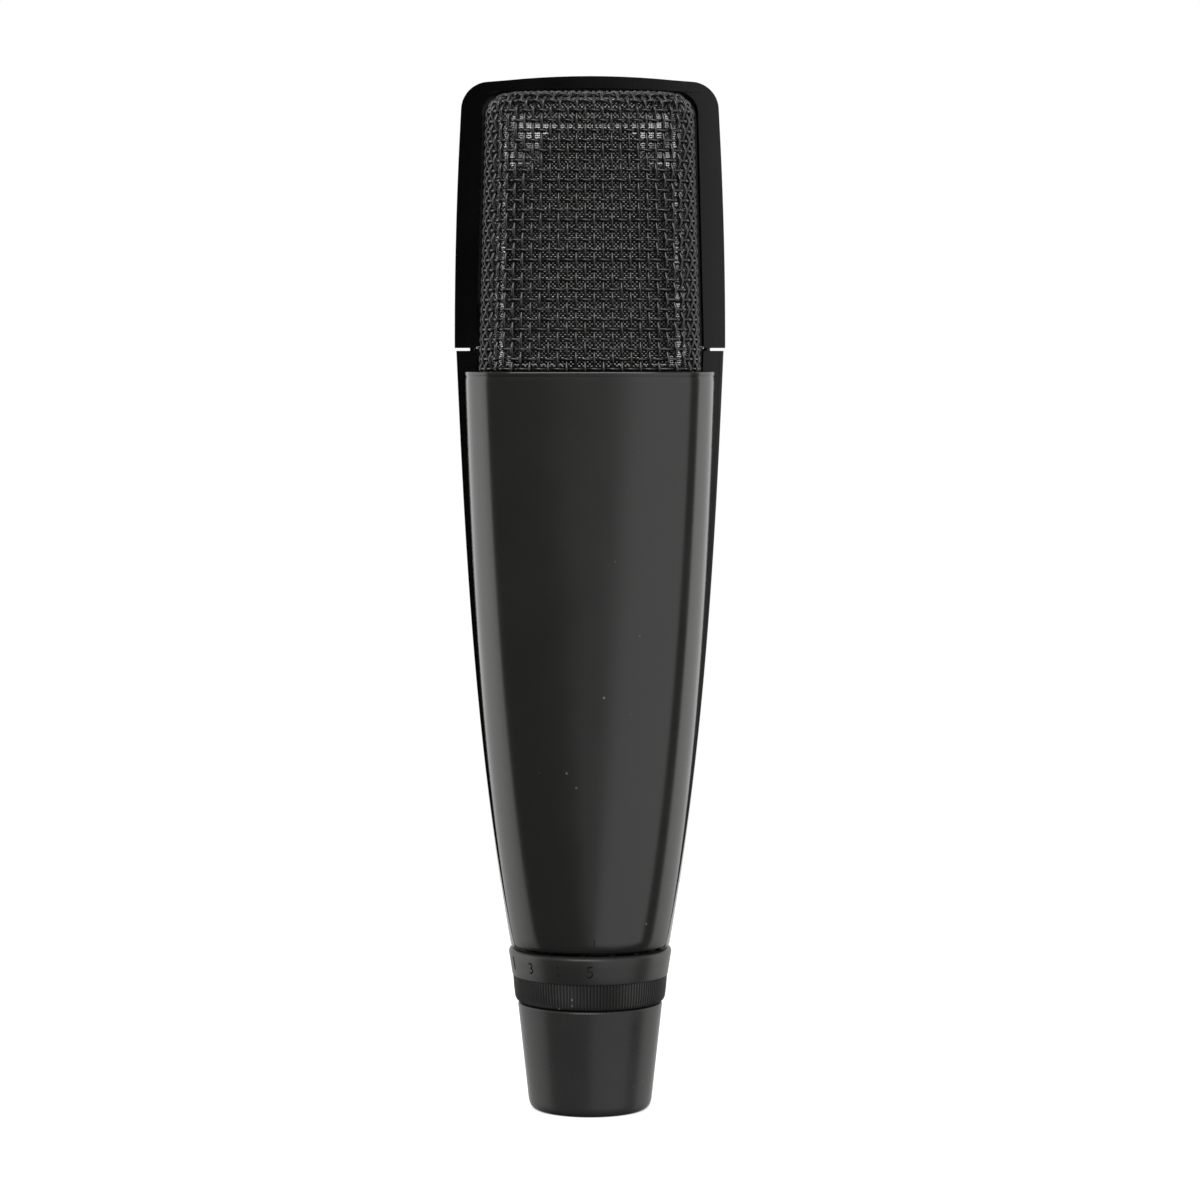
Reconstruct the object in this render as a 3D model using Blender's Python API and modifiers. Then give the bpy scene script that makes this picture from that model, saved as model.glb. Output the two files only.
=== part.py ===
"""Upright moving-coil microphone with a lift-off basket and a five-step bass selector ring.

+Z is up, -Y is the front, +X is to the viewer's right. The origin is the middle of the foot.
All sizes below are millimetres; MM turns them into metres where a mesh is made.
"""

import math

import bmesh
import bpy
from mathutils import Matrix, Vector

MM = 0.001
GAP = 0.3  # clearance between pieces that rest on each other

# Heights from the foot
SLEEVE_TOP = 19.65
RING_BOTTOM, RIB_TOP, RING_TOP = 19.95, 24.65, 29.75
SHELL_BOTTOM, SHELL_TOP = 30.45, 134.4
SPINE_TOP = 138.1
BASKET_BOTTOM = 138.6
GRILLE_BOTTOM, GRILLE_TOP = 132.3, 184.3
OPENING_TOP = 184.8
HEIGHT = 187.0

# Body
BODY_TOP_HALF_WIDTH = 23.98
SEAM_Y = 6.5  # the two shells meet the spine here
SPINE_HALF_DEPTH = 6.2
SHELL_WALL = 1.6
SHELL_STEP = 1.38  # how far the shells stand back from the spine at the top
ARM_WALL = 3.6
HUB_RADIUS, HUB_TOP = 12.0, 40.0
FRONT_FLATTENING, REAR_FLATTENING = 0.0, 0.06  # how much shallower than wide the shells are at the top
RAIL_BOTTOM, RAIL_TOP, RAIL_HEIGHT = 53.0, 109.0, 2.4

# Basket
FRAME_HALF_DEPTH = 6.5
FRAME_HALF_WIDTH = 24.23
FRAME_CORNER = 5.07
OPENING_HALF_WIDTH = 20.41
OPENING_CORNER = 4.0
CROWN_RADIUS = 149.0  # the frame's top is an arc this large
BOX_POWER = 4.3  # how boxy the basket is, seen from above
GRILLE_WALL = 0.6
FINE_WALL = 0.3

# Connector end
SLEEVE_TOP_RADIUS, SLEEVE_FOOT_RADIUS = 13.16, 11.27
RING_RADIUS, RIB_TOP_RADIUS, RIB_FOOT_RADIUS = 14.84, 14.16, 13.61
RING_BORE = 11.3
BEARING_RADIUS, BEARING_BORE = 10.9, 9.9
BARREL_RADIUS, BARREL_BORE = 9.3, 8.2
PIN_RADIUS, PIN_CIRCLE = 1.2, 4.1
KEY_WIDTH = 2.2
SELECTOR_STEP = 23.5  # degrees between the five positions
DRIVE_PIN_Z = 24.2
BALL_CIRCLE, BALL_RADIUS = 12.75, 0.7

# Capsule
CAPSULE_RADIUS, CAPSULE_WALL = 15.3, 1.0
CAPSULE_BASE_Z = 135.7
TURRET_RADIUS, TURRET_TOP = 9.2, 41.8  # the cap's raised middle, above the capsule's base
TUBE_RADIUS, TUBE_BORE, TUBE_FOOT = 4.0, 3.0, 64.0
COIL_BORE, COIL_RADIUS = 8.9, 9.6
CARRIER_Z, CARRIER_THICK = 127.1, 2.4
CARRIER_SCREW_X = 16.6
TONGUE_X, TONGUE_THICK = 21.05, 1.1
DIAPHRAGM_Z = CAPSULE_BASE_Z + 28.2

# Wiring
LEAD_X, LEAD_Y, LEAD_RADIUS = 13.2, 9.0, 0.4
BOARD_Y = 2.0
CHOKE_Z = 53.5

TURN_STEPS = 32
SMALL_TURN_STEPS = 12

COLOURS = {
    "grey_lacquer": ((0.050, 0.049, 0.046), 0.32, 0.0),
    "black_plastic": ((0.010, 0.010, 0.010), 0.42, 0.0),
    "black_mesh": ((0.030, 0.029, 0.028), 0.40, 0.9),
    "fine_mesh": ((0.100, 0.098, 0.094), 0.35, 1.0),
    "black_metal": ((0.030, 0.030, 0.031), 0.38, 0.6),
    "steel": ((0.560, 0.560, 0.560), 0.28, 1.0),
    "nickel": ((0.660, 0.640, 0.600), 0.22, 1.0),
    "magnet": ((0.180, 0.180, 0.190), 0.50, 0.9),
    "copper": ((0.720, 0.320, 0.150), 0.35, 1.0),
    "film": ((0.700, 0.680, 0.600), 0.25, 0.0),
    "felt": ((0.420, 0.400, 0.360), 0.95, 0.0),
    "rubber": ((0.020, 0.020, 0.020), 0.80, 0.0),
    "board": ((0.050, 0.180, 0.070), 0.50, 0.0),
    "capacitor": ((0.550, 0.280, 0.040), 0.40, 0.0),
    "insulator": ((0.015, 0.015, 0.015), 0.55, 0.0),
    "lead_red": ((0.550, 0.030, 0.020), 0.50, 0.0),
    "lead_blue": ((0.020, 0.060, 0.450), 0.50, 0.0),
}


# ---------------------------------------------------------------- scene helpers


def clear_scene():
    for obj in list(bpy.data.objects):
        bpy.data.objects.remove(obj)


def new_collection(name):
    made = bpy.data.collections.new(name)
    bpy.context.scene.collection.children.link(made)
    return made


def finish_of(name):
    """The named Principled material, made the first time it is asked for."""
    found = bpy.data.materials.get(name)
    if found:
        return found
    colour, roughness, metallic = COLOURS[name]
    made = bpy.data.materials.new(name)
    made.use_nodes = True
    shader = made.node_tree.nodes["Principled BSDF"]
    shader.inputs["Base Color"].default_value = (*colour, 1.0)
    shader.inputs["Roughness"].default_value = roughness
    shader.inputs["Metallic"].default_value = metallic
    return made


def place(name, mesh, finish, parent=None):
    """Puts a mesh in the scene as one named sub-part."""
    mesh.name = name
    obj = bpy.data.objects.new(name, mesh)
    PARTS.objects.link(obj)
    mesh.materials.clear()
    mesh.materials.append(finish_of(finish))
    if parent:
        obj.parent = parent
        obj.matrix_parent_inverse = parent.matrix_world.inverted()
    return obj


def make_cutter(name, mesh):
    obj = bpy.data.objects.new(name, mesh)
    CUTTERS.objects.link(obj)
    obj.hide_render = True
    obj.display_type = "WIRE"
    return obj


def joint_empty(name, location):
    empty = bpy.data.objects.new(name, None)
    empty.location = Vector(location) * MM
    PARTS.objects.link(empty)
    bpy.context.view_layer.update()
    return empty


def from_bmesh(build):
    """A mesh from a function that fills a bmesh in millimetres."""
    bm = bmesh.new()
    build(bm)
    bmesh.ops.scale(bm, vec=(MM, MM, MM), verts=bm.verts)
    mesh = bpy.data.meshes.new("shape")
    bm.to_mesh(mesh)
    bm.free()
    return mesh


def smooth(obj, angle=35):
    obj.data.shade_smooth()
    obj.data.set_sharp_from_angle(angle=math.radians(angle))
    return obj


def boolean(obj, cutter, operation="DIFFERENCE"):
    step = obj.modifiers.new(cutter.name, "BOOLEAN")
    step.operation = operation
    step.solver = "EXACT"
    step.object = cutter
    return obj


# ---------------------------------------------------------------- shape helpers


def block_mesh(centre, size):
    def build(bm):
        bmesh.ops.create_cube(bm, size=1.0)
        bmesh.ops.scale(bm, vec=size, verts=bm.verts)
        bmesh.ops.translate(bm, vec=centre, verts=bm.verts)

    return from_bmesh(build)


def rod_mesh(radius, length, middle, direction=(0, 0, 1), steps=SMALL_TURN_STEPS):
    """A cylinder of the given length about its middle, along direction."""

    def build(bm):
        turn = Vector((0, 0, 1)).rotation_difference(Vector(direction)).to_matrix().to_4x4()
        bmesh.ops.create_cone(
            bm,
            cap_ends=True,
            segments=steps,
            radius1=radius,
            radius2=radius,
            depth=length,
            matrix=Matrix.Translation(Vector(middle)) @ turn,
        )

    return from_bmesh(build)


def turned(name, profile, finish, steps=TURN_STEPS, at=(0, 0), parent=None):
    """A turned piece. profile holds (radius, height) points, outer side downwards.

    A profile that starts and ends on the axis makes a solid piece; any other is closed into a ring.
    """
    on_axis = profile[0][0] == 0 and profile[-1][0] == 0
    mesh = bpy.data.meshes.new(name)
    points = [(radius * MM, 0, height * MM) for radius, height in profile]
    edges = [(i, i + 1) for i in range(len(points) - 1)]
    if not on_axis:
        edges.append((len(points) - 1, 0))
    mesh.from_pydata(points, edges, [])
    obj = place(name, mesh, finish)
    obj.location = (at[0] * MM, at[1] * MM, 0)
    if parent:
        obj.parent = parent
        obj.matrix_parent_inverse = parent.matrix_world.inverted()
    screw = obj.modifiers.new("turn", "SCREW")
    screw.steps = steps
    screw.render_steps = steps
    screw.use_merge_vertices = True
    screw.merge_threshold = 0.00001
    screw.use_smooth_shade = False
    return obj


def ring_profile(outer, inner, bottom, top):
    return [(outer, top), (outer, bottom), (inner, bottom), (inner, top)]


def disc_profile(radius, bottom, top):
    return [(0, top), (radius, top), (radius, bottom), (0, bottom)]


def superellipse(half_width, half_depth, power, start, end, steps):
    """Points from angle start to end, counted anticlockwise from +X seen from above."""
    points = []
    for i in range(steps + 1):
        angle = start + (end - start) * i / steps
        c, s = math.cos(angle), math.sin(angle)
        x = half_width * math.copysign(abs(c) ** (2 / power), c)
        y = half_depth * math.copysign(abs(s) ** (2 / power), s)
        points.append((x, y))
    return points


def front_arc(half_width, half_depth, power, seam, steps):
    """The stretch of a superellipse in front of y = -seam, from the -X side to the +X side."""
    lift = math.asin((seam / half_depth) ** (power / 2))
    return superellipse(half_width, half_depth, power, math.pi + lift, 2 * math.pi - lift, steps)


def loft_mesh(rings):
    """A closed solid through closed rings of equal length, lowest first."""

    def build(bm):
        loops = [[bm.verts.new(point) for point in ring] for ring in rings]
        count = len(rings[0])
        for low, high in zip(loops, loops[1:]):
            for i in range(count):
                j = (i + 1) % count
                bm.faces.new((low[i], low[j], high[j], high[i]))
        bm.faces.new(list(reversed(loops[0])))
        bm.faces.new(loops[-1])

    return from_bmesh(build)


def sheet(name, rows, wall, finish, side, roof_y=None, parent=None):
    """An open lofted sheet with a wall on its inner side.

    rows hold points from -X to +X round the front; side is -1 for the front and 1 for the back,
    which is the front turned half round. A roof joins the last row straight back to y = -roof_y.
    """

    def build(bm):
        loops = [[bm.verts.new(point) for point in row] for row in rows]
        last = len(rows[0]) - 1
        for low, high in zip(loops, loops[1:]):
            for i in range(last):
                bm.faces.new((low[i], low[i + 1], high[i + 1], high[i]))
        if roof_y is not None:
            top = loops[-1]
            back = [bm.verts.new((v.co.x, -roof_y, v.co.z)) for v in top[1:-1]]
            edge = [top[0], *back, top[-1]]
            for i in range(last):
                corners = [top[i], top[i + 1], edge[i + 1], edge[i]]
                bm.faces.new(list(dict.fromkeys(corners)))
        if side > 0:
            bmesh.ops.rotate(bm, matrix=Matrix.Rotation(math.pi, 3, "Z"), verts=bm.verts)

    obj = place(name, from_bmesh(build), finish, parent)
    thick = obj.modifiers.new("wall", "SOLIDIFY")
    thick.thickness = wall * MM
    thick.offset = -1
    thick.use_even_offset = True
    return obj


def wire(name, points, radius, finish, parent=None):
    """A thin round lead along points read from a smooth curve."""
    curve = bpy.data.curves.new(name, "CURVE")
    curve.dimensions = "3D"
    curve.bevel_depth = radius * MM
    curve.bevel_resolution = 2
    curve.use_fill_caps = True
    spline = curve.splines.new("POLY")
    spline.points.add(len(points) - 1)
    for target, point in zip(spline.points, points):
        target.co = (*(Vector(point) * MM), 1.0)
    obj = bpy.data.objects.new(name, curve)
    PARTS.objects.link(obj)
    curve.materials.append(finish_of(finish))
    if parent:
        obj.parent = parent
        obj.matrix_parent_inverse = parent.matrix_world.inverted()
    return obj


def smooth_route(knots, steps):
    """Points along a Catmull-Rom curve through the knots."""
    ends = [knots[0], *knots, knots[-1]]
    points = []
    for a, b, c, d in zip(ends, ends[1:], ends[2:], ends[3:]):
        a, b, c, d = (Vector(p) for p in (a, b, c, d))
        for i in range(steps):
            t = i / steps
            points.append(
                0.5 * (2 * b + (c - a) * t + (2 * a - 5 * b + 4 * c - d) * t**2 + (3 * b - a - 3 * c + d) * t**3)
            )
    points.append(Vector(knots[-1]))
    return points


def extruded_mesh(outline, half_depth):
    """A flat outline in XZ, made solid to half_depth each way along Y."""
    curve = bpy.data.curves.new("outline", "CURVE")
    curve.dimensions = "2D"
    curve.fill_mode = "BOTH"
    curve.extrude = half_depth * MM
    spline = curve.splines.new("POLY")
    spline.points.add(len(outline) - 1)
    for target, (x, z) in zip(spline.points, outline):
        target.co = (x * MM, z * MM, 0, 1)
    spline.use_cyclic_u = True
    holder = bpy.data.objects.new("outline", curve)
    bpy.context.scene.collection.objects.link(holder)
    holder.rotation_euler = (math.pi / 2, 0, 0)
    bpy.context.view_layer.update()
    mesh = bpy.data.meshes.new_from_object(holder.evaluated_get(bpy.context.evaluated_depsgraph_get()))
    mesh.transform(holder.matrix_world)
    bpy.data.objects.remove(holder)
    bm = bmesh.new()
    bm.from_mesh(mesh)
    bmesh.ops.remove_doubles(bm, verts=bm.verts, dist=0.000001)
    bmesh.ops.recalc_face_normals(bm, faces=bm.faces)
    bm.to_mesh(mesh)
    bm.free()
    return mesh


# ---------------------------------------------------------------- body outline


def spine_half_width(z):
    """Half the width of the body's black edge band: a gentle taper that quickens downwards."""
    drop = SPINE_TOP - z
    return BODY_TOP_HALF_WIDTH - 0.0407 * drop - 9.9e-5 * drop**2 - 3.165e-6 * drop**3


def body_rise(z):
    """0 at the bottom of the shells, 1 at their top."""
    return min(1.0, max(0.0, (z - SHELL_BOTTOM) / (SHELL_TOP - SHELL_BOTTOM)))


def body_power(z):
    """Round at the ring, boxy under the basket."""
    return 2.3 + 1.9 * body_rise(z) ** 0.7


def shell_half_width(z):
    return spine_half_width(z) - SHELL_STEP * body_rise(z)


def shell_half_depth(z, side):
    """side is -1 in front and 1 at the back."""
    flattening = FRONT_FLATTENING if side < 0 else REAR_FLATTENING
    return shell_half_width(z) * (1.0 - flattening * body_rise(z))


def shell_row(z, inset, side, steps=16):
    half_width = shell_half_width(z) - inset
    half_depth = shell_half_depth(z, side) - inset
    return [(x, y, z) for x, y in front_arc(half_width, half_depth, body_power(z), SEAM_Y - 0.8, steps)]


def body_shell(name, side):
    """One grey half shell with softened lower and upper rims."""
    rims = [(SHELL_BOTTOM, 0.5), (SHELL_BOTTOM + 0.3, 0.15), (SHELL_BOTTOM + 0.9, 0.0)]
    levels = [(z, 0.0) for z in (35, 42, 51, 62, 75, 90, 105, 121)]
    top = [(SHELL_TOP - 0.5, 0.0), (SHELL_TOP, 0.35)]
    rows = [shell_row(z, inset, side) for z, inset in rims + levels + top]
    obj = sheet(name, rows, SHELL_WALL, "grey_lacquer", side)
    seam = block_mesh((0, 0, 80), (60, 2 * SEAM_Y, 160))
    boolean(obj, make_cutter(f"cut_{name}_seam", seam))
    return smooth(obj)


def spine():
    """The black U of the body: two arms, the hub at the ring, ledges and snap tongues."""
    levels = [SHELL_BOTTOM, 32, 36, 42, 50, 60, 72, 86, 100, 114, 127, SPINE_TOP]
    rings = []
    for z in levels:
        half_width = spine_half_width(z)
        ring = superellipse(half_width, half_width, body_power(z), 0, 2 * math.pi, 40)[:-1]
        rings.append([(x, y, z) for x, y in ring])
    obj = place("spine", loft_mesh(rings), "black_plastic")

    slab = block_mesh((0, 0, 100), (60, 2 * SPINE_HALF_DEPTH, 200))
    boolean(obj, make_cutter("cut_spine_slab", slab), "INTERSECT")

    inner_levels = [HUB_TOP, 48, 58, 70, 84, 98, 112, 126, SPINE_TOP + 1]
    right = [(spine_half_width(z) - ARM_WALL, z) for z in inner_levels]
    left = [(-x, z) for x, z in reversed(right)]
    hollow = extruded_mesh(right + left, 20)
    boolean(obj, make_cutter("cut_spine_hollow", hollow))

    hub_foot, hub_crest = SHELL_BOTTOM - 0.25, HUB_TOP + 0.2
    hub = rod_mesh(HUB_RADIUS, hub_crest - hub_foot, (0, 0, (hub_crest + hub_foot) / 2), steps=TURN_STEPS)
    boolean(obj, make_cutter("join_spine_hub", hub), "UNION")
    for side in (-1, 1):
        tongue = block_mesh((side * TONGUE_X, 0, SPINE_TOP + 1), (TONGUE_THICK, 8, 14))
        boolean(obj, make_cutter(f"join_tongue_{side}", tongue), "UNION")
        ledge = block_mesh((side * 17.6, 0, CARRIER_Z - GAP - 2.1), (6.0, 8, 4.2))
        boolean(obj, make_cutter(f"join_ledge_{side}", ledge), "UNION")
        hole = rod_mesh(1.1, 6, (side * CARRIER_SCREW_X, 0, CARRIER_Z - 2.0))
        boolean(obj, make_cutter(f"cut_ledge_hole_{side}", hole))
    bore = rod_mesh(BEARING_RADIUS + GAP, 5.6, (0, 0, SHELL_BOTTOM + 1.1), steps=TURN_STEPS)
    boolean(obj, make_cutter("cut_hub_seat", bore))
    passage = rod_mesh(7.0, 12, (0, 0, HUB_TOP - 2), steps=24)
    boolean(obj, make_cutter("cut_hub_passage", passage))
    pocket = rod_mesh(1.15, 5.6, (BALL_CIRCLE, 0, SHELL_BOTTOM + 1.3))
    boolean(obj, make_cutter("cut_ball_pocket", pocket))
    return smooth(obj)


def body():
    spine()
    body_shell("front_shell", -1)
    body_shell("rear_shell", 1)
    clamp_rail()


def clamp_rail():
    """The dovetail rail on the back that a quick-release clamp slides onto, and its screws."""
    length = RAIL_TOP - RAIL_BOTTOM
    mid = (RAIL_TOP + RAIL_BOTTOM) / 2
    lean = math.atan2(shell_half_depth(RAIL_TOP, 1) - shell_half_depth(RAIL_BOTTOM, 1), length)
    face_y = shell_half_depth(mid, 1) + RAIL_HEIGHT

    def build(bm):
        narrow, wide, deep, lip = 5.2, 6.8, 4.6, 1.6
        section = [(-narrow, -deep), (narrow, -deep), (narrow, -lip), (wide, 0), (-wide, 0), (-narrow, -lip)]
        loops = [[bm.verts.new((x, y, z)) for x, y in section] for z in (-length / 2, length / 2)]
        count = len(section)
        for i in range(count):
            j = (i + 1) % count
            bm.faces.new((loops[0][i], loops[0][j], loops[1][j], loops[1][i]))
        bm.faces.new(list(reversed(loops[0])))
        bm.faces.new(loops[1])
        bmesh.ops.rotate(bm, matrix=Matrix.Rotation(-lean, 3, "X"), verts=bm.verts)
        bmesh.ops.translate(bm, vec=(0, face_y, mid), verts=bm.verts)
        bmesh.ops.recalc_face_normals(bm, faces=bm.faces)

    rail = place("clamp_rail", from_bmesh(build), "black_plastic")
    rings = []
    for z in range(40, 121, 10):
        half_width = shell_half_width(z) + GAP
        half_depth = shell_half_depth(z, 1) + GAP
        ring = superellipse(half_width, half_depth, body_power(z), 0, 2 * math.pi, 48)[:-1]
        rings.append([(x, y, z) for x, y in ring])
    boolean(rail, make_cutter("cut_rail_seat", loft_mesh(rings)))
    out = Vector((0, math.cos(lean), -math.sin(lean)))
    up = Vector((0, math.sin(lean), math.cos(lean)))
    for word, along in (("lower", -20.0), ("upper", 20.0)):
        seat = Vector((0, face_y, mid)) + up * along
        sink = rod_mesh(2.3, 2.4, seat, out, 16)
        boolean(rail, make_cutter(f"cut_rail_sink_{word}", sink))
        shank_hole = rod_mesh(1.3, 16, seat, out)
        boolean(rail, make_cutter(f"cut_rail_hole_{word}", shank_hole))
        boolean(bpy.data.objects["rear_shell"], make_cutter(f"cut_shell_hole_{word}", shank_hole.copy()))
        screw(f"rail_screw_{word}", seat - out * 0.1, out, 2.0, 0.8, 1.0, 6.4)


def screw(name, top, out, head_radius, head_height, shank_radius, shank_length):
    """A slotted screw whose head's top is at top and whose shank points against out."""
    out = Vector(out).normalized()

    def build(bm):
        turn = Vector((0, 0, 1)).rotation_difference(out).to_matrix().to_4x4()
        low = Matrix.Translation(Vector(top)) @ turn
        profile = [(0, 0), (head_radius, 0), (head_radius, -head_height), (shank_radius, -head_height)]
        profile += [(shank_radius, -head_height - shank_length), (0, -head_height - shank_length)]
        verts = [bm.verts.new((r, 0, z)) for r, z in profile]
        edges = [bm.edges.new(pair) for pair in zip(verts, verts[1:])]
        bmesh.ops.spin(
            bm,
            geom=verts + edges,
            cent=(0, 0, 0),
            axis=(0, 0, 1),
            angle=2 * math.pi,
            steps=SMALL_TURN_STEPS,
            use_merge=True,
        )
        bmesh.ops.remove_doubles(bm, verts=bm.verts, dist=0.001)
        bmesh.ops.recalc_face_normals(bm, faces=bm.faces)
        bmesh.ops.transform(bm, matrix=low, verts=bm.verts)

    obj = place(name, from_bmesh(build), "steel")
    across = out.orthogonal().normalized()
    along = out.cross(across)
    axes = Matrix((across, along, out)).transposed().to_4x4()

    def slot(bm):
        bmesh.ops.create_cube(bm, size=1.0)
        bmesh.ops.scale(bm, vec=(0.5, 3 * head_radius, 0.8), verts=bm.verts)
        bmesh.ops.transform(bm, matrix=Matrix.Translation(Vector(top)) @ axes, verts=bm.verts)

    boolean(obj, make_cutter(f"cut_{name}", from_bmesh(slot)))
    return obj


# ---------------------------------------------------------------- basket


def frame_half_width(z):
    return FRAME_HALF_WIDTH - 0.0007 * (z - SPINE_TOP - 0.9) ** 2


def opening_half_width(z):
    return OPENING_HALF_WIDTH - 1.13 * (z - SPINE_TOP) / 43.0


def corner(centre_x, centre_z, radius, start, end, steps):
    """Points on an arc in XZ, angles in degrees anticlockwise from +X."""
    points = []
    for i in range(steps + 1):
        angle = math.radians(start + (end - start) * i / steps)
        points.append((centre_x + radius * math.cos(angle), centre_z + radius * math.sin(angle)))
    return points


def basket_frame(parent):
    """The black U band of the basket with a pocket in each leg for the body's snap tongues."""
    side = [(frame_half_width(z), z) for z in (BASKET_BOTTOM, 149, 159, 168, 176)]
    corner_z = HEIGHT - 1.0 - FRAME_CORNER
    outer_corner = corner(frame_half_width(corner_z) - FRAME_CORNER, corner_z, FRAME_CORNER, 2, 84, 7)
    arch = [(x, HEIGHT - x**2 / (2 * CROWN_RADIUS)) for x in (12, 6)]
    outer = side + outer_corner + arch + [(0, HEIGHT)]
    outer += [(-x, z) for x, z in reversed(outer[:-1])]
    inner_side = [(opening_half_width(z), z) for z in (BASKET_BOTTOM, 161)]
    inner_z = OPENING_TOP - 0.5 - OPENING_CORNER
    inner_x = opening_half_width(inner_z) - OPENING_CORNER
    inner_corner = corner(inner_x, inner_z, OPENING_CORNER, 0, 86, 6)
    inner = inner_side + inner_corner + [(9, OPENING_TOP - 0.15), (0, OPENING_TOP)]
    inner += [(-x, z) for x, z in reversed(inner[:-1])]
    obj = place("basket_frame", extruded_mesh(outer + inner[::-1], FRAME_HALF_DEPTH), "black_plastic", parent)
    for side_sign in (-1, 1):
        pocket = block_mesh((side_sign * (TONGUE_X - 0.15), 0, SPINE_TOP + 4), (2.0, 8.6, 9.0))
        boolean(obj, make_cutter(f"cut_pocket_{side_sign}", pocket))
    return smooth(obj)


def grille_row(z, inset, side, steps=14):
    """One level of the basket's outer mesh, from the -X side to the +X side."""
    half_width = opening_half_width(z) - 0.45 - inset
    foot_depth = shell_half_depth(SHELL_TOP, side) - SHELL_WALL - 2 * GAP
    half_depth = foot_depth - 1.5 * (z - GRILLE_BOTTOM) / 50.0 - inset
    return [(x, y) for x, y in front_arc(half_width, half_depth, BOX_POWER, 0.25, steps)]


def basket_sheet(name, side, inset, wall, finish, parent):
    """Half of the basket: a box-like sheet whose top rolls over with a rounded edge."""
    roll = 4.0 - inset
    top = GRILLE_TOP - inset
    levels = [(z, 0.0) for z in (GRILLE_BOTTOM, 149, 165)]
    for angle in (0, 22, 44, 66, 88):
        turn = math.radians(angle)
        levels.append((top - roll + roll * math.sin(turn), roll * (1 - math.cos(turn))))
    rows = [[(x, y, z) for x, y in grille_row(z, inset + shrink, side)] for z, shrink in levels]
    return smooth(sheet(name, rows, wall, finish, side, roof_y=0.25, parent=parent))


def basket(parent):
    basket_frame(parent)
    fine_inset = GRILLE_WALL + 0.25
    for word, side in (("front", -1), ("rear", 1)):
        basket_sheet(f"{word}_grille", side, 0.0, GRILLE_WALL, "black_mesh", parent)
        basket_sheet(f"{word}_fine_mesh", side, fine_inset, FINE_WALL, "fine_mesh", parent)
    rings = []
    for z in (GRILLE_BOTTOM + 0.3, GRILLE_BOTTOM + 3.0):
        rings.append([(x, y, z) for x, y in superellipse(18.3, 17.0, BOX_POWER, 0, 2 * math.pi, 32)[:-1]])
    rim = place("basket_rim", loft_mesh(rings), "black_metal", parent)
    mouth = []
    for z in (GRILLE_BOTTOM - 1, GRILLE_BOTTOM + 5):
        mouth.append([(x, y, z) for x, y in superellipse(16.7, 15.5, BOX_POWER, 0, 2 * math.pi, 32)[:-1]])
    boolean(rim, make_cutter("cut_rim_mouth", loft_mesh(mouth)))


# ---------------------------------------------------------------- capsule


def capsule_body():
    base = CAPSULE_BASE_Z
    ring = ring_profile
    turned("capsule_base", ring(14.4, TUBE_RADIUS + GAP, base, base + 2.2), "black_plastic")
    turned("bass_tube", ring(TUBE_RADIUS, TUBE_BORE, TUBE_FOOT, base + 6.4), "black_plastic", 16)
    turned("acoustic_felt", ring(14.0, 4.6, base + 2.5, base + 5.6), "felt", 24)
    turned("hum_coil", ring(13.8, 9.0, base + 5.9, base + 9.7), "copper", 24)
    wall = CAPSULE_RADIUS - CAPSULE_WALL
    turned("capsule_housing", ring(CAPSULE_RADIUS, wall, base + 2.5, base + 31.2), "black_metal")
    turned("yoke_plate", ring(14.0, 2.2, base + 10.0, base + 13.4), "steel", 24)
    turned("ring_magnet", ring(14.0, 10.6, base + 13.7, base + 22.6), "magnet", 24)
    turned("pole_piece", ring(8.5, 2.2, base + 13.7, base + 26.0), "steel", 24)
    turned("top_plate", ring(14.0, 10.0, base + 22.9, base + 26.0), "steel", 24)
    turned("diaphragm_ring", ring(14.0, 13.2, base + 26.3, base + 27.4), "nickel", 24)
    foot, shoulder, crest = base + 31.5, base + 36.1, base + TURRET_TOP
    cap = [(0, crest), (7.4, crest - 0.2), (TURRET_RADIUS, crest - 1.3), (TURRET_RADIUS, shoulder)]
    cap += [(13.4, shoulder - 0.4), (CAPSULE_RADIUS, shoulder - 2.0), (CAPSULE_RADIUS, foot)]
    cap += [(13.9, foot), (13.9, shoulder - 2.4), (12.8, shoulder - 1.5), (7.9, shoulder - 1.1)]
    cap += [(7.9, crest - 1.8), (6.9, crest - 1.3), (0, crest - 1.2)]
    lid = turned("capsule_cap", cap, "black_metal", 24)
    for count, circle, radius in ((1, 0, 1.6), (6, 4.9, 1.3)):
        for i in range(count):
            angle = 2 * math.pi * (i + 0.5) / count
            spot = (circle * math.cos(angle), circle * math.sin(angle), crest)
            boolean(lid, make_cutter(f"cut_cap_{count}_{i}", rod_mesh(radius, 4, spot, steps=8)))


def moving_diaphragm(parent):
    """The domed diaphragm and the voice coil glued under it."""
    rest = DIAPHRAGM_Z
    dome = [(0, rest + 2.6), (5.2, rest + 1.9), (9.2, rest)]
    surround = [(11.2, rest + 0.9), (13.9, rest)]
    upper = dome + surround
    lower = [(radius, height - 0.25) for radius, height in reversed(upper)]
    turned("diaphragm", upper + lower, "film", 24, parent=parent)
    coil = ring_profile(COIL_RADIUS, COIL_BORE, CAPSULE_BASE_Z + 21.5, rest - 0.5)
    turned("voice_coil", coil, "copper", 24, parent=parent)


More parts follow.
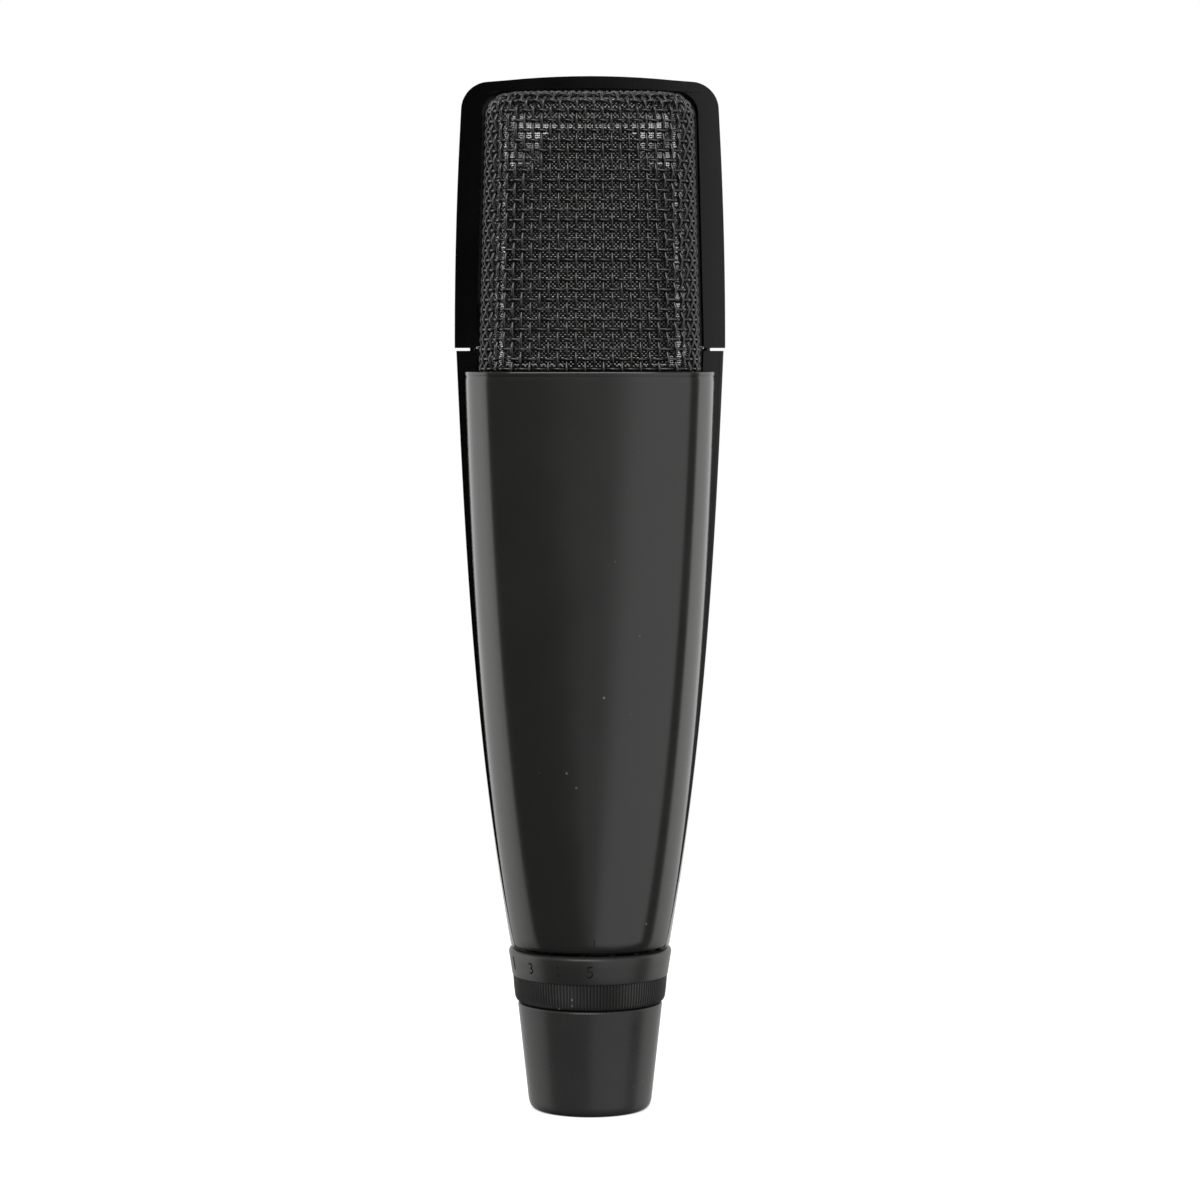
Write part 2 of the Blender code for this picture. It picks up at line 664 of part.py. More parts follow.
def suspension():
    """The carrier plate across the body, and the three rubber mounts that hold the capsule off it."""
    top = CARRIER_Z + CARRIER_THICK
    rings = []
    for z in (CARRIER_Z, top):
        rings.append([(x, y, z) for x, y in superellipse(19.2, 17.6, 3.6, 0, 2 * math.pi, 32)[:-1]])
    plate = place("capsule_carrier", loft_mesh(rings), "steel")
    middle = (0, 0, CARRIER_Z)
    boolean(plate, make_cutter("cut_carrier_bore", rod_mesh(TUBE_RADIUS + 0.6, 8, middle, steps=20)))
    for side, word in ((-1, "left"), (1, "right")):
        hole = rod_mesh(1.3, 8, (side * CARRIER_SCREW_X, 0, CARRIER_Z))
        boolean(plate, make_cutter(f"cut_carrier_{word}", hole))
        head = (side * CARRIER_SCREW_X, 0, top + GAP + 1.1)
        screw(f"carrier_screw_{word}", head, (0, 0, 1), 1.9, 1.1, 0.9, 6.0)
    for side, word in ((-1, "front"), (1, "rear")):
        lead_hole = rod_mesh(0.9, 8, (LEAD_X, side * LEAD_Y, CARRIER_Z), steps=10)
        boolean(plate, make_cutter(f"cut_lead_{word}", lead_hole))
    low, high = top + GAP, CAPSULE_BASE_Z - GAP
    waist = (low + high) / 2
    bush = [(0, high), (3.2, high), (3.2, high - 1.2), (2.3, waist), (3.2, low + 1.2), (3.2, low), (0, low)]
    for i in range(3):
        angle = math.radians(90 + 120 * i)
        spot = (10.5 * math.cos(angle), 10.5 * math.sin(angle))
        turned(f"shock_mount_{i + 1}", bush, "rubber", 16, at=spot)


# ---------------------------------------------------------------- electrics


def electrics():
    """The filter board on its bracket above the hub, with the choke and the capacitors."""
    board = block_mesh((0, BOARD_Y, 51.2), (17.0, 1.6, 17.0))
    place("circuit_board", board, "board")
    foot_y = BOARD_Y + 1.1
    bracket = block_mesh((0, foot_y + 0.5, 46.3), (12.0, 1.0, 9.0))
    foot = block_mesh((0, foot_y + 3.2, 42.3), (12.0, 6.4, 1.0))
    holder = place("board_bracket", bracket, "steel")
    boolean(holder, make_cutter("join_bracket_foot", foot), "UNION")
    core = block_mesh((0, BOARD_Y - 4.3, CHOKE_Z), (10.0, 6.4, 8.4))
    block = place("choke_core", core, "magnet")
    boolean(block, make_cutter("cut_choke_window", block_mesh((0, BOARD_Y - 4.3, CHOKE_Z), (7.0, 9.0, 5.4))))
    winding = rod_mesh(2.3, 6.4, (0, BOARD_Y - 4.3, CHOKE_Z), (1, 0, 0), 20)
    place("choke_winding", winding, "copper")
    for i, x in enumerate((-5.2, 5.2)):
        can = rod_mesh(1.9, 5.2, (x, BOARD_Y - 1.1 - 2.6, 45.6), (0, 1, 0), 16)
        smooth(place(f"capacitor_{i + 1}", can, "capacitor"))
    for i, x in enumerate((-4.0, 4.0)):
        hole = rod_mesh(0.9, 8, (x, BOARD_Y, 48.6), (0, 1, 0))
        boolean(bpy.data.objects["circuit_board"], make_cutter(f"cut_board_{i}", hole))
        boolean(holder, make_cutter(f"cut_bracket_{i}", hole.copy()))
        screw(f"board_screw_{i + 1}", (x, foot_y + 1.2 + GAP + 0.8, 48.6), (0, 1, 0), 1.5, 0.8, 0.6, 3.2)


def leads():
    """Two leads from the hum coil to the board, and two from the board to the socket's cups."""
    for word, side in (("front", -1), ("rear", 1)):
        y = side * LEAD_Y
        knots = [(LEAD_X, y, CAPSULE_BASE_Z - 0.6), (LEAD_X, y, CARRIER_Z + 1.2), (LEAD_X - 0.6, y, 118), (9.5, y * 0.8, 95)]
        knots += [(7.2, y * 0.55, 75), (6.2, BOARD_Y + side * 2.6, 63), (6.2, BOARD_Y + side * 1.5, 59.0)]
        wire(f"capsule_lead_{word}", smooth_route(knots, 3), LEAD_RADIUS, f"lead_{'red' if side < 0 else 'blue'}")
    for word, side in (("hot", -1), ("cold", 1)):
        x = side * 1.1
        knots = [(x, -1.5, 22.8), (x, -1.5, 27), (x * 1.5, -2.4, 33), (x * 2, -2.2, 38), (x * 2.2, -1.2, 41.6)]
        wire(f"output_lead_{word}", smooth_route(knots, 3), LEAD_RADIUS, f"lead_{'red' if side < 0 else 'blue'}")


# ---------------------------------------------------------------- selector and connector end


def selector(parent, ball_parent):
    """The ring that a user turns, what it drives, and the ball that clicks into it."""
    ring = [(RING_BORE, RING_TOP), (RING_RADIUS - 0.63, RING_TOP), (RING_RADIUS - 0.18, RING_TOP - 0.25)]
    ring += [(RING_RADIUS, RING_TOP - 0.8), (RIB_TOP_RADIUS, RIB_TOP), (RIB_FOOT_RADIUS, RING_BOTTOM)]
    ring += [(RING_BORE, RING_BOTTOM)]
    obj = turned("selector_ring", ring, "black_plastic", 40, parent=parent)
    for i in range(5):
        angle = math.radians(-SELECTOR_STEP * i)
        spot = (BALL_CIRCLE * math.cos(angle), BALL_CIRCLE * math.sin(angle), RING_TOP)
        dimple = bpy.data.meshes.new("dimple")
        bm = bmesh.new()
        where = Matrix.Translation(Vector(spot) * MM)
        bmesh.ops.create_uvsphere(bm, u_segments=8, v_segments=6, radius=0.88 * MM, matrix=where)
        bm.to_mesh(dimple)
        bm.free()
        boolean(obj, make_cutter(f"cut_dimple_{i}", dimple))
    pin_hole = rod_mesh(0.95, 3.2, (0, -11.9, DRIVE_PIN_Z), (0, 1, 0))
    boolean(obj, make_cutter("cut_drive_pin_hole", pin_hole))
    pin = rod_mesh(0.75, 8.4, (0, -8.9, DRIVE_PIN_Z), (0, 1, 0))
    place("drive_pin", pin, "steel", parent)
    rotor_profile = ring_profile(9.4, 3.2, DRIVE_PIN_Z - 1.2, DRIVE_PIN_Z + 1.2)
    rotor = turned("switch_rotor", rotor_profile, "insulator", 24, parent=parent)
    slot = rod_mesh(0.95, 8, (0, -8.4, DRIVE_PIN_Z), (0, 1, 0))
    boolean(rotor, make_cutter("cut_rotor_slot", slot))
    wiper_profile = ring_profile(8.6, 5.4, DRIVE_PIN_Z + 1.5, DRIVE_PIN_Z + 1.9)
    wiper = turned("contact_wiper", wiper_profile, "nickel", 24, parent=parent)
    boolean(wiper, make_cutter("cut_wiper_gap", block_mesh((0, 6, DRIVE_PIN_Z + 1.7), (14, 8, 3))))
    turned("switch_wafer", ring_profile(9.5, 3.6, DRIVE_PIN_Z + 2.3, DRIVE_PIN_Z + 3.7), "board", 24)

    ball = bpy.data.meshes.new("ball")
    bm = bmesh.new()
    bmesh.ops.create_uvsphere(bm, u_segments=10, v_segments=8, radius=BALL_RADIUS * MM)
    bm.to_mesh(ball)
    bm.free()
    ball_obj = place("detent_ball", ball, "steel")
    ball_obj.location = Vector((BALL_CIRCLE, 0, RING_TOP + BALL_RADIUS + 0.05)) * MM
    ball_obj.parent = ball_parent
    ball_obj.matrix_parent_inverse = ball_parent.matrix_world.inverted()
    turns, per_turn, low, high = 3, 8, RING_TOP + 1.85, SHELL_BOTTOM + 3.7
    coil = []
    for i in range(turns * per_turn + 1):
        angle = 2 * math.pi * i / per_turn
        height = low + (high - low) * i / (turns * per_turn)
        coil.append((BALL_CIRCLE + 0.7 * math.cos(angle), 0.7 * math.sin(angle), height))
    wire("detent_spring", coil, 0.14, "steel")


def arc_slot_mesh(radius, bottom, top, start, end):
    """A wedge from the axis out to radius, between two angles in degrees."""
    points = [(0.0, 0.0)]
    steps = 12
    for i in range(steps + 1):
        angle = math.radians(start + (end - start) * i / steps)
        points.append((radius * math.cos(angle), radius * math.sin(angle)))
    return loft_mesh([[(x, y, z) for x, y in points] for z in (bottom, top)])


def connector_end():
    tube = turned("bearing_tube", ring_profile(BEARING_RADIUS, BEARING_BORE, 12.3, 33.8), "black_metal", 36)
    sweep = 4 * SELECTOR_STEP
    slot = arc_slot_mesh(14, DRIVE_PIN_Z - 1.1, DRIVE_PIN_Z + 1.1, -90 - 8, -90 + sweep + 8)
    boolean(tube, make_cutter("cut_bearing_slot", slot))

    seat = BEARING_RADIUS + GAP
    bore = BARREL_RADIUS + GAP
    foot = SLEEVE_FOOT_RADIUS
    sleeve = [(seat, SLEEVE_TOP), (SLEEVE_TOP_RADIUS - 0.3, SLEEVE_TOP)]
    sleeve += [(SLEEVE_TOP_RADIUS, SLEEVE_TOP - 0.3)]
    sleeve += [(foot, 1.9), (foot - 0.25, 0.8), (foot - 0.7, 0.2), (foot - 1.2, 0)]
    sleeve += [(bore, 0), (bore, 12.0), (seat, 12.0)]
    body_of_sleeve = turned("connector_sleeve", sleeve, "black_metal", 36)
    hole = rod_mesh(1.1, 6, (0, 12.0, 15.6), (0, 1, 0))
    boolean(body_of_sleeve, make_cutter("cut_set_screw_hole", hole))
    screw("sleeve_set_screw", (0, 12.3, 15.6), (0, 1, 0), 0.8, 0.5, 0.8, 0.45)

    barrel = turned("socket_barrel", ring_profile(BARREL_RADIUS, BARREL_BORE, 0.4, 19.0), "nickel")
    key = block_mesh((0, BARREL_BORE - 0.45, 10.0), (KEY_WIDTH, 1.5, 16.8))
    boolean(barrel, make_cutter("join_socket_key", key), "UNION")
    insert = turned("socket_insert", disc_profile(BARREL_BORE - GAP, 14.4, 19.6), "insulator", TURN_STEPS)
    notch = block_mesh((0, BARREL_BORE - 0.2, 17.0), (KEY_WIDTH + 2 * GAP, 2.6, 8.0))
    boolean(insert, make_cutter("cut_insert_notch", notch))
    for i, angle in enumerate((180, 0, 270)):
        turn = math.radians(angle)
        x, y = PIN_CIRCLE * math.cos(turn), PIN_CIRCLE * math.sin(turn)
        through = rod_mesh(PIN_RADIUS + 0.05, 8, (x, y, 17), steps=16)
        boolean(insert, make_cutter(f"cut_pin_{i}", through))
        tip = [(0, 22.0), (PIN_RADIUS, 22.0), (PIN_RADIUS, 3.4), (0.9, 2.7), (0, 2.5)]
        turned(f"contact_pin_{i + 1}", tip, "nickel", 16, at=(x, y))


# ---------------------------------------------------------------- assembly

clear_scene()
PARTS = new_collection("microphone")
CUTTERS = new_collection("cutters")

ring_axis = joint_empty("bass_selector_axis", (0, 0, RING_BOTTOM))
basket_slide = joint_empty("basket_lift_axis", (0, 0, BASKET_BOTTOM))
diaphragm_slide = joint_empty("diaphragm_axis", (0, 0, DIAPHRAGM_Z))
ball_slide = joint_empty("detent_ball_axis", (BALL_CIRCLE, 0, RING_TOP))

body()
basket(basket_slide)
suspension()
capsule_body()
moving_diaphragm(diaphragm_slide)
electrics()
connector_end()
selector(ring_axis, ball_slide)
leads()
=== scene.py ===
# Looks of the upright microphone: woven wire basket, two satin half shells between black spines,
# the ribbed selector ring and the tapered connector sleeve.
# Lengths are millimetres unless a name says otherwise; MM turns them into metres.

import math

import bmesh
import bpy
import numpy as np
from mathutils import Matrix, Vector


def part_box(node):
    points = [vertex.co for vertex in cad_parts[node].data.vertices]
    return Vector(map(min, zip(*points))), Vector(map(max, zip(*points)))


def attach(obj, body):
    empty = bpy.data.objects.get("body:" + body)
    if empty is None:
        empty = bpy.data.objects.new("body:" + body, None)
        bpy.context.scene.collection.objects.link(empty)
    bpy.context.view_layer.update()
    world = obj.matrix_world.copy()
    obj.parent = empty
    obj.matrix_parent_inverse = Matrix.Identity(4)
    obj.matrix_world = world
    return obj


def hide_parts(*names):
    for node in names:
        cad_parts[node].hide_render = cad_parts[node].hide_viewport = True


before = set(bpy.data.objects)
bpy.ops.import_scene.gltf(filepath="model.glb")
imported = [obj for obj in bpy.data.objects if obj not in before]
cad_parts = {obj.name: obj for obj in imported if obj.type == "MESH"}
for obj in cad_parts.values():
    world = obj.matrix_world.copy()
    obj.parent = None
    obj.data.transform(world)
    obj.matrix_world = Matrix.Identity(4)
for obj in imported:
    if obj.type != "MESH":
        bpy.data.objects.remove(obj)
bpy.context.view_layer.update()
MM = 0.001


def low(node):
    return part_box(node)[0] / MM


def high(node):
    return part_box(node)[1] / MM


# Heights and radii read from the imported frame
SHELL_BOTTOM, SHELL_TOP = low("front_shell").z, high("front_shell").z
BASKET_BOTTOM, HEIGHT = low("basket_frame").z, high("basket_frame").z
SPINE_TOP = BASKET_BOTTOM - 0.5
GRILLE_BOTTOM, GRILLE_TOP = low("front_grille").z, high("front_grille").z - 0.4
RING_BOTTOM, RING_TOP = low("selector_ring").z, high("selector_ring").z
RING_RADIUS = high("selector_ring").x
SLEEVE_TOP, SLEEVE_TOP_RADIUS = high("connector_sleeve").z, high("connector_sleeve").x
FRAME_HALF_DEPTH = high("basket_frame").y
CAPSULE_RADIUS = high("capsule_housing").x

# Body outline
SEAM_Y = 6.5
SPINE_HALF_DEPTH = 6.2
SPINE_HALF_WIDTH = 23.98  # at the spine's top
SHELL_STEP = 1.38
SHELL_WALL = 1.6
REAR_FLATTENING = 0.06
ARM_WALL = 3.6

# Basket
BOX_POWER = 4.3
WEAVE_PITCH_ACROSS, WEAVE_PITCH_UP = 1.62, 1.77
WIRE_RADIUS = 0.285
FINE_PITCH = 0.37
FINE_ROW_RADIUS, FINE_COLUMN_RADIUS = 0.095, 0.034
FINE_INSET = 1.30
TOP_ROLL = 4.0

# Clamp rail
RAIL_FOOT, RAIL_HEAD = 53.0, 109.0
RAIL_MIDDLE = (RAIL_FOOT + RAIL_HEAD) / 2
RAIL_HEIGHT = 2.4
RAIL_SCREWS = {"lower": -20.0, "upper": 20.0}  # along the rail, from its middle

# Selector ring
RIB_COUNT = 146
SELECTOR_STEP = 23.5
RIB_TOP, RIB_TOP_RADIUS, RIB_FOOT_RADIUS = 24.65, 14.16, 13.61

# Surroundings: light from a white sweep behind and beside the object, cards beside it and a dim room
SWEEP_EDGE, SWEEP_SOFTNESS, SWEEP_SKEW = -0.04, 0.03, -0.16
SWEEP_COLOUR = (1.0, 1.0, 0.99)
CARD_COLOUR = (2.1, 2.1, 2.08)
ROOM_COLOUR = (0.02, 0.02, 0.02)
OVERHEAD_COLOUR = (0.50, 0.50, 0.50)
FLOOR_LIGHT = (0.015, 0.015, 0.015)
BEHIND_FROM, BEHIND_TO = 0.2, 0.75
OVERHEAD_FROM, OVERHEAD_TO = 0.35, 0.75
BELOW_FROM, BELOW_TO = -0.75, -0.15
FLOOR_RADIUS = 300


# ---------------------------------------------------------------- finishes


def feed(tree, made, **inputs):
    """Gives a node's inputs their values, or links them where the value is a socket."""
    for name, value in inputs.items():
        socket = made.inputs[name.replace("_", " ")]
        if isinstance(value, bpy.types.NodeSocket):
            tree.links.new(value, socket)
        else:
            socket.default_value = value
    return made


def node(tree, kind, **inputs):
    return feed(tree, tree.nodes.new(kind), **inputs)


def maths(tree, operation, *operands):
    """A maths node; each operand is a number or a socket."""
    made = tree.nodes.new("ShaderNodeMath")
    made.operation = operation
    for socket, operand in zip(made.inputs, operands):
        if isinstance(operand, float):
            socket.default_value = operand
        else:
            tree.links.new(operand, socket)
    return made.outputs["Value"]


def remap(tree, source, low_in, high_in, low_out=0.0, high_out=1.0):
    made = tree.nodes.new("ShaderNodeMapRange")
    names = ("From Min", "From Max", "To Min", "To Max")
    for name, value in zip(names, (low_in, high_in, low_out, high_out)):
        made.inputs[name].default_value = value
    tree.links.new(source, made.inputs["Value"])
    return made.outputs["Result"]


def blend_colour(tree, factor, first, second):
    made = tree.nodes.new("ShaderNodeMix")
    made.data_type = "RGBA"
    tree.links.new(factor, made.inputs["Factor"])
    for value, name in ((first, "A"), (second, "B")):
        socket = [i for i in made.inputs if i.name == name and i.type == "RGBA"][0]
        if isinstance(value, tuple):
            socket.default_value = (*value, 1.0)
        else:
            tree.links.new(value, socket)
    return [o for o in made.outputs if o.type == "RGBA"][0]


def new_material(name):
    made = bpy.data.materials.new(name)
    made.use_nodes = True
    return made, made.node_tree, made.node_tree.nodes["Principled BSDF"]


def finish(
    name,
    colour,
    roughness,
    metallic=0.0,
    mottle=0.12,
    grain=900.0,
    bump=0.0,
    bump_depth=0.00002,
    dust=0.0,
    coat=0.0,
    specular=0.5,
    stretch=(1.0, 1.0, 1.0),
    sheen=0.0,
):
    """A procedural finish: mottled colour, uneven gloss, a fine grain and, where asked, dust."""
    made, tree, shader = new_material(name)
    feed(tree, shader, Metallic=metallic, Specular_IOR_Level=specular, Sheen_Weight=sheen)
    feed(tree, shader, Coat_Weight=coat, Coat_Roughness=0.1)
    place = node(tree, "ShaderNodeTexCoord")
    scaled = node(tree, "ShaderNodeMapping", Vector=place.outputs["Object"], Scale=stretch)
    where = scaled.outputs["Vector"]
    patches = node(tree, "ShaderNodeTexNoise", Vector=where, Scale=55.0, Detail=4.0, Roughness=0.6)
    fine = node(tree, "ShaderNodeTexNoise", Vector=where, Scale=grain, Detail=3.0, Roughness=0.65)

    darker = tuple(c * (1 - mottle) for c in colour)
    lighter = tuple(c * (1 + mottle) for c in colour)
    spread = remap(tree, patches.outputs["Fac"], 0.3, 0.7)
    base = blend_colour(tree, spread, darker, lighter)
    if dust:
        specks = node(tree, "ShaderNodeTexVoronoi", Vector=where, Scale=330.0)
        chosen = node(tree, "ShaderNodeTexNoise", Vector=where, Scale=95.0, Detail=1.0)
        spot = remap(tree, specks.outputs["Distance"], 0.10, 0.03)
        patch = remap(tree, chosen.outputs["Fac"], 0.60, 0.66, 0.0, dust)
        base = blend_colour(tree, maths(tree, "MULTIPLY", spot, patch), base, DUST_COLOUR)
    gloss = remap(tree, patches.outputs["Fac"], 0.3, 0.7, roughness * 0.88, min(1.0, roughness * 1.12))
    feed(tree, shader, Base_Color=base, Roughness=gloss)
    if bump:
        grain_height = fine.outputs["Fac"]
        relief = node(tree, "ShaderNodeBump", Height=grain_height, Strength=bump, Distance=bump_depth)
        feed(tree, shader, Normal=relief.outputs["Normal"])
    return made


def woven_metal_and_painted_shade(name, painted_shade_colour, bright):
    """Fine woven wire with painted light: each crest where a wire rides over its neighbour is
    its bright metal whitened into a painted glint, and where it dives the colour is painted shade.

    The UV map holds a wire's number and how many crossings along it a point is, or (0, 1) for the
    upright wires, which are painted shade all along.
    """
    made, tree, shader = new_material(name)
    weave = node(tree, "ShaderNodeUVMap")
    weave.uv_map = "weave"
    parts = node(tree, "ShaderNodeSeparateXYZ", Vector=weave.outputs["UV"])
    total = maths(tree, "ADD", parts.outputs["X"], parts.outputs["Y"])
    wave = maths(tree, "COSINE", maths(tree, "MULTIPLY", total, math.pi))
    crest = remap(tree, wave, 0.2, 0.8)
    # Painted shade where a wire dives and on the upright wires; bright metal whitened into a painted glint on each
    # crest
    base = blend_colour(tree, crest, painted_shade_colour, bright)
    relief = node(tree, "ShaderNodeBump", Height=wave, Strength=0.25, Distance=0.00006)
    feed(tree, shader, Base_Color=base, Metallic=0.7, Roughness=remap(tree, crest, 0.0, 1.0, 0.6, 0.18))
    feed(tree, shader, Normal=relief.outputs["Normal"])
    return made


DUST_COLOUR = (0.42, 0.41, 0.39)

FINISHES = {
    "grey_shell": finish(
        "satin_grey_lacquer", (0.0225, 0.0221, 0.0214), 0.19, grain=420.0, bump=0.10, dust=0.5, mottle=0.06
    ),
    "black_plastic": finish(
        "satin_black_moulding", (0.0009, 0.00085, 0.0008), 0.14, grain=1500.0, bump=0.08, dust=0.10, specular=0.38
    ),
    "selector_plastic": finish(
        "matt_black_moulding", (0.029, 0.0285, 0.0278), 0.34, grain=1800.0, bump=0.30, dust=0.6, specular=0.35
    ),
    "black_mesh": finish(
        "black_coated_wire", (0.0085, 0.0085, 0.0083), 0.24, grain=2600.0, bump=0.18, mottle=0.2, specular=0.85
    ),
    # The fine weave's colour is painted shade with painted crest glints
    "fine_mesh": woven_metal_and_painted_shade("fine_wire_painted_shade", (0.003, 0.003, 0.003), (0.97, 0.96, 0.94)),
    "black_metal": finish(
        "satin_black_metal", (0.037, 0.0365, 0.036), 0.28, grain=1700.0, bump=0.22, dust=0.4, specular=0.2
    ),
    "steel": finish("zinc_plated_steel", (0.46, 0.455, 0.44), 0.34, 1.0, grain=1400.0, bump=0.25),
    "screw_steel": finish("blackened_screw", (0.10, 0.098, 0.095), 0.34, 0.9, grain=1600.0, bump=0.30),
    "nickel": finish("nickel_plate", (0.60, 0.58, 0.54), 0.22, 1.0, grain=900.0, bump=0.10, mottle=0.05),
    "magnet": finish("bare_magnet", (0.12, 0.12, 0.125), 0.50, 0.8, grain=1200.0, bump=0.5),
    "copper": finish(
        "enamelled_copper", (0.50, 0.19, 0.075), 0.34, 0.9, grain=2500.0, bump=0.7, stretch=(1.0, 1.0, 12.0)
    ),
    "film": finish("polyester_film", (0.56, 0.52, 0.42), 0.25, grain=500.0, bump=0.15, coat=0.3),
    "felt": finish("acoustic_felt", (0.33, 0.31, 0.28), 0.95, grain=1600.0, bump=1.0, bump_depth=0.0002, sheen=0.4),
    "rubber": finish("soft_rubber", (0.018, 0.018, 0.018), 0.75, grain=1500.0, bump=0.5),
    "board": finish("fibreglass_board", (0.035, 0.12, 0.05), 0.45, grain=2500.0, bump=0.3, coat=0.3),
    "capacitor": finish("dipped_capacitor", (0.42, 0.19, 0.03), 0.35, grain=700.0, bump=0.2, coat=0.4),
    "insulator": finish("pressed_insulator", (0.014, 0.014, 0.014), 0.50, grain=1700.0, bump=0.4),
    "lead_red": finish("red_lead", (0.42, 0.02, 0.015), 0.45, grain=1200.0, bump=0.15),
    "lead_blue": finish("blue_lead", (0.015, 0.045, 0.34), 0.45, grain=1200.0, bump=0.15),
}

# The CAD nodes that stay in view, by finish
CAD_FINISHES = {
    "felt": "acoustic_felt",
    "black_metal": "basket_rim bearing_tube",
    "black_plastic": "bass_tube capsule_base",
    "steel": (
        "board_bracket capsule_carrier detent_ball detent_spring drive_pin pole_piece top_plate "
        "yoke_plate"
    ),
    "screw_steel": "board_screw_1 board_screw_2 carrier_screw_left carrier_screw_right",
    "capacitor": "capacitor_1 capacitor_2",
    "lead_red": "capsule_lead_front output_lead_hot",
    "lead_blue": "capsule_lead_rear output_lead_cold",
    "magnet": "choke_core ring_magnet",
    "copper": "choke_winding hum_coil voice_coil",
    "board": "circuit_board switch_wafer",
    "nickel": "contact_pin_1 contact_pin_2 contact_pin_3 contact_wiper diaphragm_ring socket_barrel",
    "film": "diaphragm",
    "rubber": "shock_mount_1 shock_mount_2 shock_mount_3",
    "insulator": "socket_insert switch_rotor",
}


def dress_cad_nodes():
    """Gives every CAD node that stays in view its finish and soft shading."""
    for slot, names in CAD_FINISHES.items():
        for name in names.split():
            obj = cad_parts[name]
            obj.data.materials.clear()
            obj.data.materials.append(FINISHES[slot])
            obj.data.shade_smooth()
            obj.data.set_sharp_from_angle(angle=math.radians(35))


# ---------------------------------------------------------------- mesh helpers


def placed(name, data):
    obj = bpy.data.objects.new(name, data)
    bpy.context.scene.collection.objects.link(obj)
    return obj


def piece(name, mesh, slot, body, *replaced, smooth=35):
    """Puts a mesh made in millimetres into the scene as a piece of the microphone."""
    mesh.transform(Matrix.Scale(MM, 4))
    obj = placed(name, mesh)
    mesh.materials.clear()
    mesh.materials.append(FINISHES[slot])
    mesh.shade_smooth()
    if smooth < 180:
        mesh.set_sharp_from_angle(angle=math.radians(smooth))
        flat = obj.modifiers.new("flat_faces", "WEIGHTED_NORMAL")
        flat.keep_sharp = True
    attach(obj, body)
    if replaced:
        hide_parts(*replaced)
    return obj


def mesh_of(points, faces):
    mesh = bpy.data.meshes.new("shape")
    mesh.from_pydata([tuple(p) for p in points], [], faces)
    mesh.validate()
    return mesh


def repaired(mesh):
    """Merges doubled points and turns all faces outwards."""
    bm = bmesh.new()
    bm.from_mesh(mesh)
    bmesh.ops.remove_doubles(bm, verts=bm.verts, dist=0.0005)
    bmesh.ops.recalc_face_normals(bm, faces=bm.faces)
    return mesh_from(bm, mesh)


def evaluated(holder, extra=()):
    """The mesh an object comes to; the object and any extra ones it uses are removed."""
    bpy.context.view_layer.update()
    result = bpy.data.meshes.new_from_object(
        holder.evaluated_get(bpy.context.evaluated_depsgraph_get())
    )
    for obj in [holder, *extra]:
        bpy.data.objects.remove(obj)
    return result


def carved(mesh, cutters, operation="DIFFERENCE"):
    """The mesh after exact Booleans with each cutter mesh in turn."""
    holder = placed("holder", mesh)
    extra = []
    for i, cutter in enumerate(cutters):
        obj = placed(f"cutter_{i}", cutter)
        obj.hide_render = True
        step = holder.modifiers.new(f"step_{i}", "BOOLEAN")
        step.operation = operation
        step.solver = "EXACT"
        step.object = obj
        extra.append(obj)
    return evaluated(holder, extra)


def eased(mesh, width, segments=2, angle=40):
    """The mesh with its sharp edges rounded."""
    holder = placed("holder", mesh)
    step = holder.modifiers.new("ease", "BEVEL")
    step.width = width
    step.segments = segments
    step.limit_method = "ANGLE"
    step.angle_limit = math.radians(angle)
    step.harden_normals = False
    return evaluated(holder)


def mesh_from(bm, mesh=None):
    mesh = mesh or bpy.data.meshes.new("shape")
    bm.to_mesh(mesh)
    bm.free()
    return mesh


def block(centre, size):
    bm = bmesh.new()
    bmesh.ops.create_cube(bm, size=1.0)
    bmesh.ops.scale(bm, vec=size, verts=bm.verts)
    bmesh.ops.translate(bm, vec=centre, verts=bm.verts)
    return mesh_from(bm)


def rod(radius, length, middle, direction=(0, 0, 1), steps=48):
    bm = bmesh.new()
    turn = Vector((0, 0, 1)).rotation_difference(Vector(direction)).to_matrix().to_4x4()
    bmesh.ops.create_cone(
        bm,
        cap_ends=True,
        segments=steps,
        radius1=radius,
        radius2=radius,
        depth=length,
        matrix=Matrix.Translation(Vector(middle)) @ turn,
    )
    return mesh_from(bm)


def ball(radius, centre):
    bm = bmesh.new()
    place = Matrix.Translation(centre)
    bmesh.ops.create_uvsphere(bm, u_segments=24, v_segments=13, radius=radius, matrix=place)
    return mesh_from(bm)


def turned(profile, steps=144):
    """A turned solid from (radius, height) points that run once round its section."""
    angles = np.arange(steps) * 2 * math.pi / steps
    rings, points = [], []
    for radius, height in profile:
        if radius == 0:
            rings.append([len(points)] * steps)
            points.append((0, 0, height))
        else:
            rings.append(list(range(len(points), len(points) + steps)))
            points += [(radius * math.cos(a), radius * math.sin(a), height) for a in angles]
    faces = []
    closed = profile[0][0] > 0
    pairs = list(zip(rings, rings[1:]))
    if closed:
        pairs.append((rings[-1], rings[0]))
    for one, two in pairs:
        for i in range(steps):
            j = (i + 1) % steps
            face = list(dict.fromkeys((one[i], one[j], two[j], two[i])))
            if len(face) > 2:
                faces.append(face)
    return repaired(mesh_of(points, faces))


def rounded(points, radius, steps=4):
    """The corner points of a section, each turned into a small arc of the given radius."""
    made = []
    count = len(points)
    for i in range(count):
        here = np.array(points[i], float)
        before, after = np.array(points[i - 1], float), np.array(points[(i + 1) % count], float)
        to_before, to_after = before - here, after - here
        reach = min(radius, np.linalg.norm(to_before) / 2.1, np.linalg.norm(to_after) / 2.1)
        start = here + to_before / np.linalg.norm(to_before) * reach
        end = here + to_after / np.linalg.norm(to_after) * reach
        for t in np.linspace(0, 1, steps + 1):
            made.append(tuple((1 - t) ** 2 * start + 2 * t * (1 - t) * here + t**2 * end))
    return made


